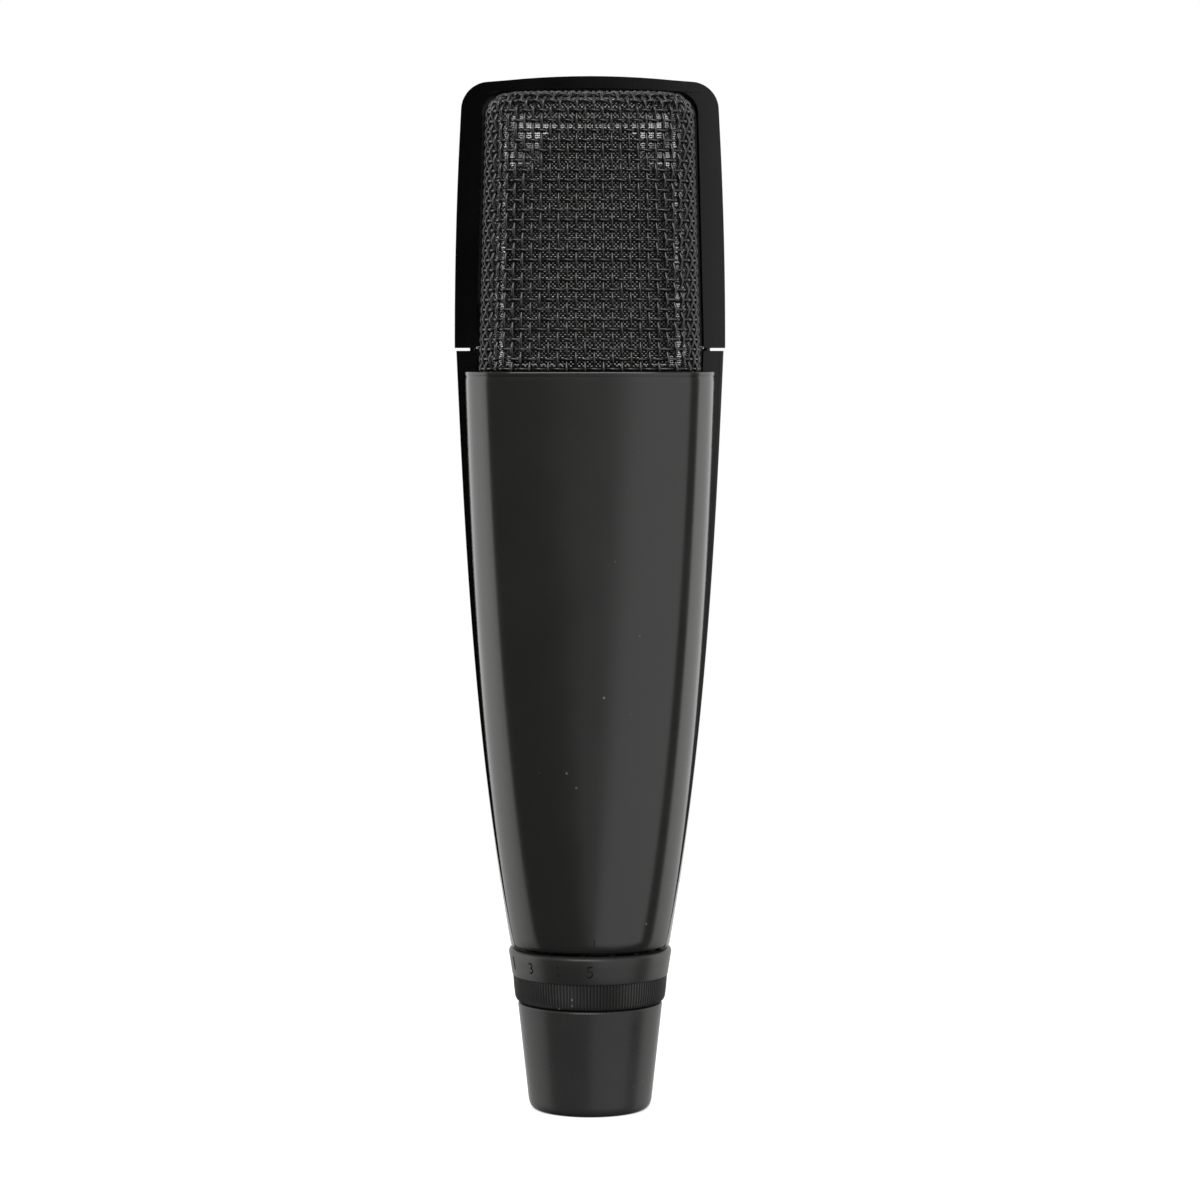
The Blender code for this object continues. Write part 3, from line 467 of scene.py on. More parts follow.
def lofted(rings):
    """A closed solid through closed rings of equal length."""
    count = len(rings[0])
    points = [p for ring in rings for p in ring]
    faces = []
    for level in range(len(rings) - 1):
        for i in range(count):
            j = (i + 1) % count
            a, b = level * count, (level + 1) * count
            faces.append((a + i, a + j, b + j, b + i))
    faces.append(tuple(reversed(range(count))))
    faces.append(tuple(range(len(points) - count, len(points))))
    return mesh_of(points, faces)


# ---------------------------------------------------------------- outlines


def spine_half_width(z):
    drop = SPINE_TOP - z
    return SPINE_HALF_WIDTH - 0.0407 * drop - 9.9e-5 * drop**2 - 3.165e-6 * drop**3


def body_rise(z):
    return min(1.0, max(0.0, (z - SHELL_BOTTOM) / (SHELL_TOP - SHELL_BOTTOM)))


def body_power(z):
    return 2.3 + 1.9 * body_rise(z) ** 0.7


def shell_half_width(z):
    return spine_half_width(z) - SHELL_STEP * body_rise(z)


def shell_half_depth(z, side):
    flattening = 0.0 if side < 0 else REAR_FLATTENING
    return shell_half_width(z) * (1.0 - flattening * body_rise(z))


def polar(half_width, half_depth, power, angles):
    c, s = np.cos(angles), np.sin(angles)
    reach = (np.abs(c / half_width) ** power + np.abs(s / half_depth) ** power) ** (-1 / power)
    return np.stack([reach * c, reach * s], axis=1)


def evenly(points, fractions):
    """Points at the given fractions of a polyline's length."""
    steps = np.linalg.norm(np.diff(points, axis=0), axis=1)
    along = np.concatenate([[0], np.cumsum(steps)])
    along /= along[-1]
    return np.stack([np.interp(fractions, along, points[:, k]) for k in range(points.shape[1])], axis=1)


def front_arc(half_width, half_depth, power, seam, fractions):
    """The stretch of a superellipse in front of y = -seam, from -X to +X, evenly spaced."""
    lift_guess = np.linspace(0, math.pi / 2, 4001)
    rise = -polar(half_width, half_depth, power, -lift_guess)[:, 1]
    lift = np.interp(seam, rise, lift_guess)
    dense = polar(half_width, half_depth, power, np.linspace(-math.pi + lift, -lift, 3001))
    return evenly(dense, fractions)


def arc_length(half_width, half_depth, power, seam):
    dense = front_arc(half_width, half_depth, power, seam, np.linspace(0, 1, 400))
    return float(np.linalg.norm(np.diff(dense, axis=0), axis=1).sum())


def half_turn(points):
    points = np.array(points, float)
    points[:, :2] *= -1
    return points


# ---------------------------------------------------------------- body


def shell(name, side, node_name):
    """One satin half shell with a lip under its top rim and softened edges."""
    columns = np.linspace(0, 1, 121)
    rim = [(0.0, 0.45), (0.12, 0.24), (0.35, 0.08), (0.7, 0.0)]  # height above the foot, inset
    lip = [(1.5, 0.02), (1.1, 0.06), (0.74, 0.12), (0.70, 0.02)]  # depth below the top, inset
    crown = [(0.62, 0.0), (0.16, 0.0), (0.05, 0.06), (0.0, 0.2)]
    levels = [(SHELL_BOTTOM + up, inset) for up, inset in rim]
    levels += [(z, 0.0) for z in np.linspace(SHELL_BOTTOM + 2.0, SHELL_TOP - 2.0, 62)]
    levels += [(SHELL_TOP - down, inset) for down, inset in lip + crown]
    outer, inner = [], []
    for z, inset in levels:
        half_width, half_depth, power = shell_half_width(z), shell_half_depth(z, side), body_power(z)
        for skin, depth in ((outer, inset), (inner, SHELL_WALL)):
            row = front_arc(half_width - depth, half_depth - depth, power, SEAM_Y, columns)
            skin.append(np.column_stack([row, np.full(len(row), z)]))
    rows, count = len(levels), len(columns)
    points = np.concatenate(outer + inner)
    if side > 0:
        points = half_turn(points)
    back = rows * count
    faces = []
    for r in range(rows - 1):
        for c in range(count - 1):
            a = r * count + c
            faces.append((a, a + 1, a + count + 1, a + count))
            faces.append((back + a, back + a + count, back + a + count + 1, back + a + 1))
    for c in range(count - 1):
        faces.append((c + 1, c, back + c, back + c + 1))
        a = (rows - 1) * count + c
        faces.append((a, a + 1, back + a + 1, back + a))
    for r in range(rows - 1):
        a, b = r * count, (r + 1) * count
        faces.append((a, b, back + b, back + a))
        a, b = a + count - 1, b + count - 1
        faces.append((b, a, back + a, back + b))
    mesh = repaired(mesh_of(points, faces))
    if side < 0:
        z = SHELL_BOTTOM + 1.5
        front = -shell_half_depth(z, side)
        cutters = [block((0.75, front, z), (0.26, 0.8, 1.9))]
    else:
        cutters = [rod(1.3, 12, rail_point(along, -4.0), RAIL_OUT) for along in RAIL_SCREWS.values()]
    mesh = carved(mesh, cutters)
    return piece(name, mesh, "grey_shell", "chassis", node_name, smooth=38)


RAIL_LEAN = math.atan2(
    shell_half_depth(RAIL_HEAD, 1) - shell_half_depth(RAIL_FOOT, 1), RAIL_HEAD - RAIL_FOOT
)
RAIL_OUT = Vector((0, math.cos(RAIL_LEAN), -math.sin(RAIL_LEAN)))
RAIL_UP = Vector((0, math.sin(RAIL_LEAN), math.cos(RAIL_LEAN)))


def rail_point(along, out):
    """A point along the clamp rail's middle line, out from its flat face."""
    face = Vector((0, shell_half_depth(RAIL_MIDDLE, 1) + RAIL_HEIGHT, RAIL_MIDDLE))
    return face + RAIL_UP * along + RAIL_OUT * out


def spine():
    """The black edge bands with a fine groove down each face, the hub and the snap tongues."""
    middle = np.linspace(SHELL_BOTTOM + 0.6, SPINE_TOP - 0.4, 56)
    levels = [SHELL_BOTTOM + 0.02, *middle, SPINE_TOP]
    lens = np.linspace(-1, 1, 9) * SPINE_HALF_DEPTH
    arms = []
    for sign in (-1, 1):
        rings = []
        for z in levels:
            outer, power = spine_half_width(z), body_power(z)
            edge = [(outer * (1 - (abs(y) / outer) ** power) ** (1 / power), y) for y in lens]
            strip = max(0.16, SHELL_STEP * body_rise(z))
            tip = edge[0][0]
            soft, groove, half_gap, depth = 0.16 * strip, tip - 0.5 * strip, 0.11 * strip, 0.22 * strip
            face, floor_y = -SPINE_HALF_DEPTH, depth - SPINE_HALF_DEPTH
            ring = [(outer - ARM_WALL, face), (groove - half_gap, face)]
            ring += [(groove - 0.8 * half_gap, floor_y), (groove + 0.8 * half_gap, floor_y)]
            ring += [(groove + half_gap, face), (tip - soft, face)]
            ring += [(tip - 0.3 * soft, 0.3 * soft - SPINE_HALF_DEPTH), (tip, soft - SPINE_HALF_DEPTH)]
            ring += edge[1:-1] + [(x, -y) for x, y in reversed(ring)]
            rings.append([(sign * x, y, z) for x, y in ring])
        arms.append(repaired(lofted(rings)))
    hub_top = 40.0
    plinth_rings = []
    for z in (SHELL_BOTTOM + 0.05, 34.0, hub_top):
        reach, deep = spine_half_width(z) - ARM_WALL + 0.6, SPINE_HALF_DEPTH - 0.05
        ring = [(-reach, -deep), (reach, -deep), (reach, deep), (-reach, deep)]
        plinth_rings.append([(x, y, z) for x, y in ring])
    hub_middle = (0, 0, (hub_top + SHELL_BOTTOM - 0.05) / 2)
    joined = [lofted(plinth_rings), arms[1]]
    joined.append(rod(12.0, hub_top - SHELL_BOTTOM + 0.45, hub_middle, steps=96))
    for sign in (-1, 1):
        joined.append(eased(block((sign * 21.05, 0, SPINE_TOP + 1), (1.1, 8, 14)), 0.2))
        joined.append(block((sign * 17.6, 0, 124.7), (6.0, 8, 4.2)))
        joined.append(block((sign * 20.0, 0, SPINE_TOP - 2.69), (1.3, 0.4, 6.22)))
        joined.append(block((sign * 19.83, 0, SPINE_TOP - 1.975), (0.98, 0.36, 5.35)))
    mesh = carved(arms[0], joined, "UNION")
    cutters = [rod(1.1, 6, (sign * 16.6, 0, 125.1), steps=24) for sign in (-1, 1)]
    cutters.append(rod(11.2, 5.6, (0, 0, SHELL_BOTTOM + 1.1), steps=96))
    cutters.append(rod(7.0, 12, (0, 0, hub_top - 2)))
    ball_pocket = (12.75, 0, SHELL_BOTTOM + 1.3)
    cutters.append(rod(1.15, 5.6, ball_pocket, steps=24))
    mesh = carved(mesh, cutters)
    return piece("spine_bands", mesh, "black_plastic", "chassis", "spine", smooth=32)


def slotted_screw(name, top, out, head, head_height, shank, shank_length, node_name):
    """A pan-head screw with a driver slot, its top at top and its shank against out."""
    profile = [(0, 0), (head * 0.72, -0.03), (head * 0.93, -0.16), (head, -0.36), (head, -head_height)]
    profile += [(shank, -head_height), (shank, -head_height - shank_length + 0.3)]
    profile += [(shank * 0.6, -head_height - shank_length), (0, -head_height - shank_length)]
    mesh = carved(turned(profile, 48), [block((0, 0, 0), (0.5, 3 * head, 0.8))])
    turn = Vector((0, 0, 1)).rotation_difference(Vector(out)).to_matrix().to_4x4()
    mesh.transform(Matrix.Translation(Vector(top)) @ turn @ Matrix.Rotation(0.6, 4, "Z"))
    return piece(name, mesh, "screw_steel", "chassis", node_name)


def clamp_rail():
    """The dovetail rail on the back, with eased edges and its two countersunk holes."""
    narrow, wide, deep, lip = 5.2, 6.8, 4.6, 1.6
    section = [(-narrow, -deep), (narrow, -deep), (narrow, -lip), (wide, -0.35), (wide - 0.35, 0)]
    section += [(0.35 - wide, 0), (-wide, -0.35), (-narrow, -lip)]
    half = (RAIL_HEAD - RAIL_FOOT) / 2
    rings = []
    for along in (-half, half):
        rings.append([tuple(rail_point(along, out) + Vector((x, 0, 0))) for x, out in section])
    mesh = repaired(lofted(rings))
    seat = []
    for z in np.arange(40, 121, 4):
        ring = polar(
            shell_half_width(z) + 0.3,
            shell_half_depth(z, 1) + 0.3,
            body_power(z),
            np.linspace(0, 2 * math.pi, 97)[:-1],
        )
        seat.append([(x, y, z) for x, y in ring])
    cutters = [lofted(seat)]
    for along in RAIL_SCREWS.values():
        cutters.append(rod(2.3, 2.4, rail_point(along, 0), RAIL_OUT))
        cutters.append(rod(1.3, 16, rail_point(along, 0), RAIL_OUT))
    mesh = eased(carved(mesh, cutters), 0.18, 2, 50)
    piece("dovetail_rail", mesh, "black_plastic", "chassis", "clamp_rail")
    for word, along in RAIL_SCREWS.items():
        node_name = f"rail_screw_{word}"
        top = rail_point(along, -0.1)
        slotted_screw(f"{node_name}_slotted", top, RAIL_OUT, 2.0, 0.8, 1.0, 6.4, node_name)


# ---------------------------------------------------------------- basket


def frame_half_width(z):
    return 24.23 - 0.0007 * (z - SPINE_TOP - 0.9) ** 2


def opening_half_width(z):
    return 20.41 - 1.13 * (z - SPINE_TOP) / 43.0


def corner(centre_x, centre_z, radius, start, end, steps):
    angles = np.radians(np.linspace(start, end, steps + 1))
    return [(centre_x + radius * math.cos(a), centre_z + radius * math.sin(a)) for a in angles]


def basket_frame():
    """The black hoop round the basket, with eased edges and a pocket in each leg."""
    corner_radius, opening_corner, crown_radius, opening_top = 5.07, 4.0, 149.0, 184.8
    side = [(frame_half_width(z), z) for z in np.linspace(BASKET_BOTTOM, 178.4, 14)]
    corner_z = HEIGHT - 1.0 - corner_radius
    turn = corner(frame_half_width(corner_z) - corner_radius, corner_z, corner_radius, 2, 84, 18)
    arch = [(x, HEIGHT - x**2 / (2 * crown_radius)) for x in (15, 12, 9, 6, 3)]
    outer = side + turn + arch + [(0, HEIGHT)]
    outer += [(-x, z) for x, z in reversed(outer[:-1])]
    inner = [(opening_half_width(z), z) for z in (BASKET_BOTTOM, 150, 161, 172)]
    inner_z = opening_top - 0.5 - opening_corner
    inner += corner(opening_half_width(inner_z) - opening_corner, inner_z, opening_corner, 0, 86, 14)
    inner += [(9, opening_top - 0.15), (0, opening_top)]
    inner += [(-x, z) for x, z in reversed(inner[:-1])]
    curve = bpy.data.curves.new("hoop", "CURVE")
    curve.dimensions = "2D"
    curve.fill_mode = "BOTH"
    curve.extrude = FRAME_HALF_DEPTH
    outline = outer + inner[::-1]
    spline = curve.splines.new("POLY")
    spline.points.add(len(outline) - 1)
    for target, (x, z) in zip(spline.points, outline):
        target.co = (x, z, 0, 1)
    spline.use_cyclic_u = True
    mesh = evaluated(placed("hoop", curve))
    mesh.transform(Matrix.Rotation(math.pi / 2, 4, "X"))
    mesh = repaired(mesh)
    pockets = [block((sign * 20.9, 0, SPINE_TOP + 4), (2.0, 8.6, 9.0)) for sign in (-1, 1)]
    mesh = eased(carved(mesh, pockets), 0.30, 3, 50)
    opening = [(x, max(z, BASKET_BOTTOM + 0.25)) for x, z in inner]
    mesh = carved(mesh, [parting_rib(opening)], "UNION")
    return piece("basket_hoop", mesh, "black_plastic", "basket", "basket_frame", smooth=32)


def parting_rib(opening):
    """The thin rib inside the hoop, between the front and rear halves of the mesh."""
    count = len(opening)
    half = 0.2
    points = []
    for reach in (-0.4, 0.9):
        for i, (x, z) in enumerate(opening):
            before, after = opening[max(i - 1, 0)], opening[min(i + 1, count - 1)]
            run = Vector((after[0] - before[0], after[1] - before[1])).normalized()
            points.append((x - run.y * reach, z + run.x * reach))
    rings = []
    for i in range(count):
        (near_x, near_z), (far_x, far_z) = points[i], points[count + i]
        near = [(near_x, -half, near_z), (near_x, half, near_z)]
        rings.append(near + [(far_x, half, far_z), (far_x, -half, far_z)])
    return repaired(lofted(rings))


def basket_level(reach, inset):
    """Height and inward shrink of the basket's skin at a distance up from its foot."""
    roll = TOP_ROLL - inset
    wall = GRILLE_TOP - inset - roll - GRILLE_BOTTOM
    if reach <= wall:
        return GRILLE_BOTTOM + reach, 0.0, 0.0
    angle = (reach - wall) / roll
    if angle <= math.pi / 2:
        top = GRILLE_TOP - inset
        return top - roll + roll * math.sin(angle), roll * (1 - math.cos(angle)), angle
    return GRILLE_TOP - inset, roll + (reach - wall) - roll * math.pi / 2, math.pi / 2


def basket_outline(z, shrink, inset, side):
    foot_depth = shell_half_depth(SHELL_TOP, side) - SHELL_WALL - 0.6
    half_width = opening_half_width(z) - 0.45 - inset - shrink
    half_depth = foot_depth - 1.5 * (z - GRILLE_BOTTOM) / 50.0 - inset - shrink
    return half_width, half_depth


def swing(places, signs, where):
    """A smooth weave: the sign at each crossing place, eased from one to the next."""
    index = np.clip(np.searchsorted(places, where) - 1, 0, len(places) - 2)
    share = np.clip((where - places[index]) / (places[index + 1] - places[index]), 0, 1)
    eased_share = (1 - np.cos(np.pi * share)) / 2
    return signs[index] + (signs[index + 1] - signs[index]) * eased_share


def wire_paths(side, inset, pitch_across, pitch_up, samples, swing_height, row_skip=1, column_skip=1):
    """Every wire of one half of the basket as (points, outward normals, number, crossings along it).

    Wires run round the wall, and up it and over the rounded top edge; those from the front go on
    to the seam, and those from the sides go across under them to the other side.
    """
    seam = 0.32
    z_foot, _, _ = basket_level(0, inset)
    width, depth = basket_outline(z_foot, 0, inset, side)
    across = int(round(arc_length(width, depth, BOX_POWER, seam) / pitch_across))
    roll = TOP_ROLL - inset
    wall = GRILLE_TOP - inset - roll - GRILLE_BOTTOM
    roof_ring = 0.6 * pitch_up
    reach_total = wall + roll * math.pi / 2 + roof_ring
    up = int(round(reach_total / pitch_up))
    fractions = np.linspace(0, 1, across * samples + 1)
    reaches = np.linspace(0, reach_total, up * samples + 1)
    grid, normals = [], []
    for reach in reaches:
        z, shrink, tilt = basket_level(reach, inset)
        width, depth = basket_outline(z, shrink, inset, side)
        row = front_arc(width, depth, BOX_POWER, seam, fractions)
        along = np.gradient(row, axis=0)
        flat = np.stack([along[:, 1], -along[:, 0]], axis=1)
        flat /= np.linalg.norm(flat, axis=1)[:, None]
        grid.append(np.column_stack([row, np.full(len(row), z)]))
        normals.append(np.column_stack([flat * math.cos(tilt), np.full(len(row), math.sin(tilt))]))
    grid, normals = np.array(grid), np.array(normals)
    half = samples // 2
    column_cross = np.arange(across) * samples + half
    row_cross = np.arange(up) * samples + half
    wires = []

    for j, r in enumerate(row_cross):
        signs = (-1.0) ** (np.arange(across) + j)
        keep = np.arange(0, grid.shape[1], column_skip)
        if keep[-1] != grid.shape[1] - 1:
            keep = np.append(keep, grid.shape[1] - 1)
        offset = swing(column_cross, signs, keep) * swing_height
        points = grid[r, keep] + normals[r, keep] * offset[:, None]
        wires.append((points, normals[r, keep], j, (keep - half) / samples))

    last = grid[-1]
    end_x, end_y = last[column_cross, 0], last[column_cross, 1]
    edge_x, edge_y = np.abs(last[:, 0]).max(), np.abs(last[:, 1]).max()
    in_front = (np.abs(end_x) <= 0.86 * edge_x) & (np.abs(end_y) > 0.5 * edge_y)
    at_sides = ~in_front & (np.abs(end_y) <= 0.86 * edge_y)
    front_set = np.flatnonzero(in_front)
    pairs = [(i, across - 1 - i) for i in np.flatnonzero(at_sides) if i < across / 2]
    pairs.sort(key=lambda pair: end_y[pair[0]])  # nearest the front first
    lane_y = np.array([end_y[a] for a, _ in pairs])
    spare = int((lane_y[0] + edge_y) / pitch_across - 0.3)
    short_y = [lane_y[0] - pitch_across * k for k in range(spare, 0, -1)]  # across the roof's front
    lane_y = np.concatenate([short_y, lane_y])
    rows_kept = np.arange(0, grid.shape[0], row_skip)
    if row_skip > 1:
        roll_start = int(np.searchsorted(reaches, wall))
        rolled = np.linspace(roll_start, grid.shape[0] - 1, 9).astype(int)
        rows_kept = np.unique(np.concatenate([[0, roll_start // 2], rolled]))

    def on_roof(x, y):
        """Points on the roof, and their normals."""
        x, y = np.broadcast_arrays(x, y)
        return np.column_stack([x, y, np.full(len(x), last[0, 2])]), np.tile([0.0, 0.0, 1.0], (len(x), 1))

    for i in front_set:
        c = column_cross[i]
        run_start = last[c, 1]
        step = pitch_up / samples
        run = np.arange(run_start + step, -seam, step) if row_skip == 1 else np.array([-seam])
        roof_rows = grid.shape[0] - 1 + (run - run_start) / step
        roof_cross = grid.shape[0] - 1 + (lane_y - run_start) / step
        crossings = np.sort(np.concatenate([row_cross, roof_cross]))
        crossings += np.arange(len(crossings)) * 1e-6
        signs = -((-1.0) ** (np.arange(len(crossings)) + i))
        where = np.concatenate([rows_kept, roof_rows])
        roof_points, roof_outward = on_roof(last[c, 0], run)
        points = np.concatenate([grid[rows_kept, c], roof_points])
        outward = np.concatenate([normals[rows_kept, c], roof_outward])
        offset = swing(crossings, signs, where) * swing_height
        wires.append((points + outward * offset[:, None], outward, None, None))

    front_set = front_set[np.argsort(end_x[front_set])]
    front_x = end_x[front_set]
    reach_x = front_x.max()
    step = pitch_across / samples
    for m, y in enumerate(short_y):
        run = np.arange(-reach_x, reach_x, step) if row_skip == 1 else np.array([-reach_x, reach_x])
        points, outward = on_roof(run, y)
        offset = swing(front_x, (-1.0) ** (front_set + up + m), run) * swing_height
        wires.append((points + outward * offset[:, None], outward, None, None))

    def up_wall(i):
        """The swing of upright wire i where it climbs the wall."""
        return swing(row_cross, -((-1.0) ** (np.arange(up) + i)), rows_kept)

    for m, (a, b) in enumerate(pairs):
        ca, cb = column_cross[a], column_cross[b]
        first_x = last[ca, 0]
        run = np.arange(first_x + step, -first_x - step * 0.5, step) if row_skip == 1 else np.array([])
        roof_points, roof_outward = on_roof(run, last[ca, 1])
        points = np.concatenate([grid[rows_kept, ca], roof_points, grid[rows_kept[::-1], cb]])
        outward = np.concatenate([normals[rows_kept, ca], roof_outward, normals[rows_kept[::-1], cb]])
        over = swing(front_x, (-1.0) ** (front_set + up + len(short_y) + m), run)
        offset = np.concatenate([up_wall(a), over, up_wall(b)[::-1]]) * swing_height
        wires.append((points + outward * offset[:, None], outward, None, None))

    for i in np.flatnonzero(~in_front & ~at_sides):
        c = column_cross[i]
        offset = up_wall(i) * swing_height
        points = grid[rows_kept, c] + normals[rows_kept, c] * offset[:, None]
        wires.append((points, normals[rows_kept, c], None, None))
    if side > 0:
        wires = [(half_turn(p), half_turn(n), number, count) for p, n, number, count in wires]
    return wires


def wire_mesh(wires, row_radius, column_radius, sides, with_uv=False):
    """Round closed wires along their paths, as one mesh."""
    angles = np.arange(sides) * 2 * math.pi / sides
    all_points, faces, uvs, start = [], [], [], 0
    for points, outward, number, count in wires:
        radius = column_radius if number is None else row_radius
        along = np.gradient(points, axis=0)
        along /= np.linalg.norm(along, axis=1)[:, None]
        outward = outward - along * np.sum(outward * along, axis=1)[:, None]
        outward /= np.linalg.norm(outward, axis=1)[:, None]
        across = np.cross(along, outward)
        ring = (
            points[:, None, :]
            + radius * np.cos(angles)[None, :, None] * outward[:, None, :]
            + radius * np.sin(angles)[None, :, None] * across[:, None, :]
        )
        length = len(points)
        all_points.append(ring.reshape(-1, 3))
        if number is None:
            uvs.append(np.tile([0.0, 1.0], (length * sides, 1)))
        else:
            numbers = np.full(length * sides, float(number))
            uvs.append(np.column_stack([numbers, np.repeat(count, sides)]))
        index = start + np.arange(length * sides).reshape(length, sides)
        a, b = index[:-1], index[1:]
        a_next, b_next = np.roll(a, -1, axis=1), np.roll(b, -1, axis=1)
        quads = np.stack([a, a_next, b_next, b], axis=2).reshape(-1, 4)
        faces += quads.tolist()
        faces.append(index[0][::-1].tolist())
        faces.append(index[-1].tolist())
        start += length * sides
    mesh = bpy.data.meshes.new("wires")
    mesh.from_pydata(np.concatenate(all_points).tolist(), [], faces)
    if with_uv:
        uv = np.concatenate(uvs)
        layer = mesh.uv_layers.new(name="weave")
        loops = np.zeros(len(mesh.loops), np.int32)
        mesh.loops.foreach_get("vertex_index", loops)
        layer.data.foreach_set("uv", uv[loops].astype(np.float32).ravel())
    return mesh


def basket():
    basket_frame()
    for word, side in (("front", -1), ("rear", 1)):
        skin = 2 * WIRE_RADIUS
        outer = wire_paths(side, skin, WEAVE_PITCH_ACROSS, WEAVE_PITCH_UP, 4, WIRE_RADIUS * 1.02)
        piece(
            f"{word}_wire_weave",
            wire_mesh(outer, WIRE_RADIUS, WIRE_RADIUS, 6),
            "black_mesh",
            "basket",
            f"{word}_grille",
            smooth=180,
        )
        fine = wire_paths(side, FINE_INSET, FINE_PITCH, FINE_PITCH, 2, 0.0, row_skip=2, column_skip=8)
        piece(
            f"{word}_fine_weave",
            wire_mesh(fine, FINE_ROW_RADIUS, FINE_COLUMN_RADIUS, 4, with_uv=True),
            "fine_mesh",
            "basket",
            f"{word}_fine_mesh",
            smooth=180,
        )


# ---------------------------------------------------------------- selector ring and connector end


def engraving(text, angle, height, middle_z, depth=0.4):
    """A cutter for one numeral on the ring's plain band, wrapped round it."""
    curve = bpy.data.curves.new("mark", "FONT")
    curve.body = text
    curve.size = height * 1.38
    curve.align_x = "CENTER"
    curve.resolution_u = 4
    curve.extrude = 0.5
    mesh = evaluated(placed("mark", curve))
    bm = bmesh.new()
    bm.from_mesh(mesh)
    bmesh.ops.remove_doubles(bm, verts=bm.verts, dist=0.0001)
    heights = [v.co.y for v in bm.verts]
    centre = (min(heights) + max(heights)) / 2
    surface = RING_RADIUS
    for v in bm.verts:
        z = middle_z + v.co.y - centre
        band = band_radius(z)
        reach = band - depth if v.co.z < 0 else band + 0.4
        turn = math.radians(angle) + v.co.x / surface
        v.co = (reach * math.sin(turn), -reach * math.cos(turn), z)
    bmesh.ops.recalc_face_normals(bm, faces=bm.faces)
    return mesh_from(bm, mesh)


def band_radius(z):
    """The ring's plain upper band, slightly conical."""
    share = (z - RIB_TOP) / (RING_TOP - 0.8 - RIB_TOP)
    return RIB_TOP_RADIUS + (RING_RADIUS - RIB_TOP_RADIUS) * min(1.0, share)


def selector_ring():
    """The ring: a plain band with engraved dial marks over a band of fine vertical ribs."""
    per_rib = 6
    steps = RIB_COUNT * per_rib
    angles = np.arange(steps) * 2 * math.pi / steps
    phase = (np.arange(steps) % per_rib) / per_rib
    ridge = np.clip(1.35 * np.cos(2 * math.pi * phase) * 0.5 + 0.5, 0, 1)
    rib_depth = 0.30
    bore = 11.3
    # Radius, height and share of the rib depth, once round the ring's section
    rows = [(RING_RADIUS - 0.95, RING_TOP, 0), (RING_RADIUS - 0.55, RING_TOP - 0.06, 0)]
    rows += [(RING_RADIUS - 0.25, RING_TOP - 0.22, 0), (RING_RADIUS - 0.07, RING_TOP - 0.48, 0)]
    rows += [(RING_RADIUS, RING_TOP - 0.85, 0)]
    rows += [(band_radius(z), z, 0) for z in (27.6, 26.2, RIB_TOP + 0.25)]
    rows += [(RIB_TOP_RADIUS - 0.02, RIB_TOP + 0.08, 0), (RIB_TOP_RADIUS - 0.10, RIB_TOP, 0.5)]
    rows += [(RIB_TOP_RADIUS - 0.10, RIB_TOP - 0.18, 1.0), (13.9, 22.4, 1.0)]
    rows += [(RIB_FOOT_RADIUS + 0.08, RING_BOTTOM + 0.75, 1.0)]
    rows += [(RIB_FOOT_RADIUS - 0.12, RING_BOTTOM + 0.28, 0.8), (RIB_FOOT_RADIUS - 0.50, RING_BOTTOM, 0)]
    rows += [(bore + 0.3, RING_BOTTOM, 0), (bore, RING_BOTTOM + 0.3, 0)]
    rows += [(bore, RING_TOP - 0.3, 0), (bore + 0.3, RING_TOP, 0)]
    points = []
    for radius, z, share in rows:
        reach = radius - rib_depth * share * (1 - ridge)
        across, deep = reach * np.cos(angles), reach * np.sin(angles)
        points.append(np.column_stack([across, deep, np.full(steps, z)]))
    faces = []
    count = len(rows)
    for r in range(count):
        a, b = r * steps, ((r + 1) % count) * steps
        for i in range(steps):
            j = (i + 1) % steps
            faces.append((a + i, b + i, b + j, a + j))
    mesh = mesh_of(np.concatenate(points), faces)

    def outwards(step):
        """The direction of a dial position from the ring's axis; position 0 is at the front."""
        turn = math.radians(-SELECTOR_STEP * step)
        return Vector((math.sin(turn), -math.cos(turn), 0))

    mark_z = (RIB_TOP + RING_TOP) / 2 - 0.12
    marks = (("5", 0, 2.3), ("3", 2, 2.1), ("1", 4, 2.1))
    cutters = [engraving(text, -SELECTOR_STEP * step, height, mark_z) for text, step, height in marks]
    for z in (mark_z - 0.75, mark_z + 0.75):
        cutters.append(rod(0.16, 0.5, outwards(1) * band_radius(z) + Vector((0, 0, z)), outwards(1), 12))
    notch = block((0, 0, 0), (0.62, 0.9, 2.4))
    notch_turn = Matrix.Rotation(math.radians(-SELECTOR_STEP * 3), 4, "Z")
    notch.transform(notch_turn @ Matrix.Translation((0, -band_radius(mark_z), mark_z + 0.25)))
    cutters.append(notch)
    ball_circle = (low("detent_ball").x + high("detent_ball").x) / 2
    for step in range(5):
        turn = math.radians(-SELECTOR_STEP * step)
        spot = Vector((math.cos(turn), math.sin(turn), 0)) * ball_circle
        cutters.append(ball(0.88, spot + Vector((0, 0, RING_TOP))))
    pin_z = (low("drive_pin").z + high("drive_pin").z) / 2
    cutters.append(rod(0.95, 3.2, (0, -11.9, pin_z), (0, 1, 0), 32))
    mesh = carved(mesh, cutters)
    return piece("ribbed_selector_ring", mesh, "selector_plastic", "selector", "selector_ring", smooth=30)


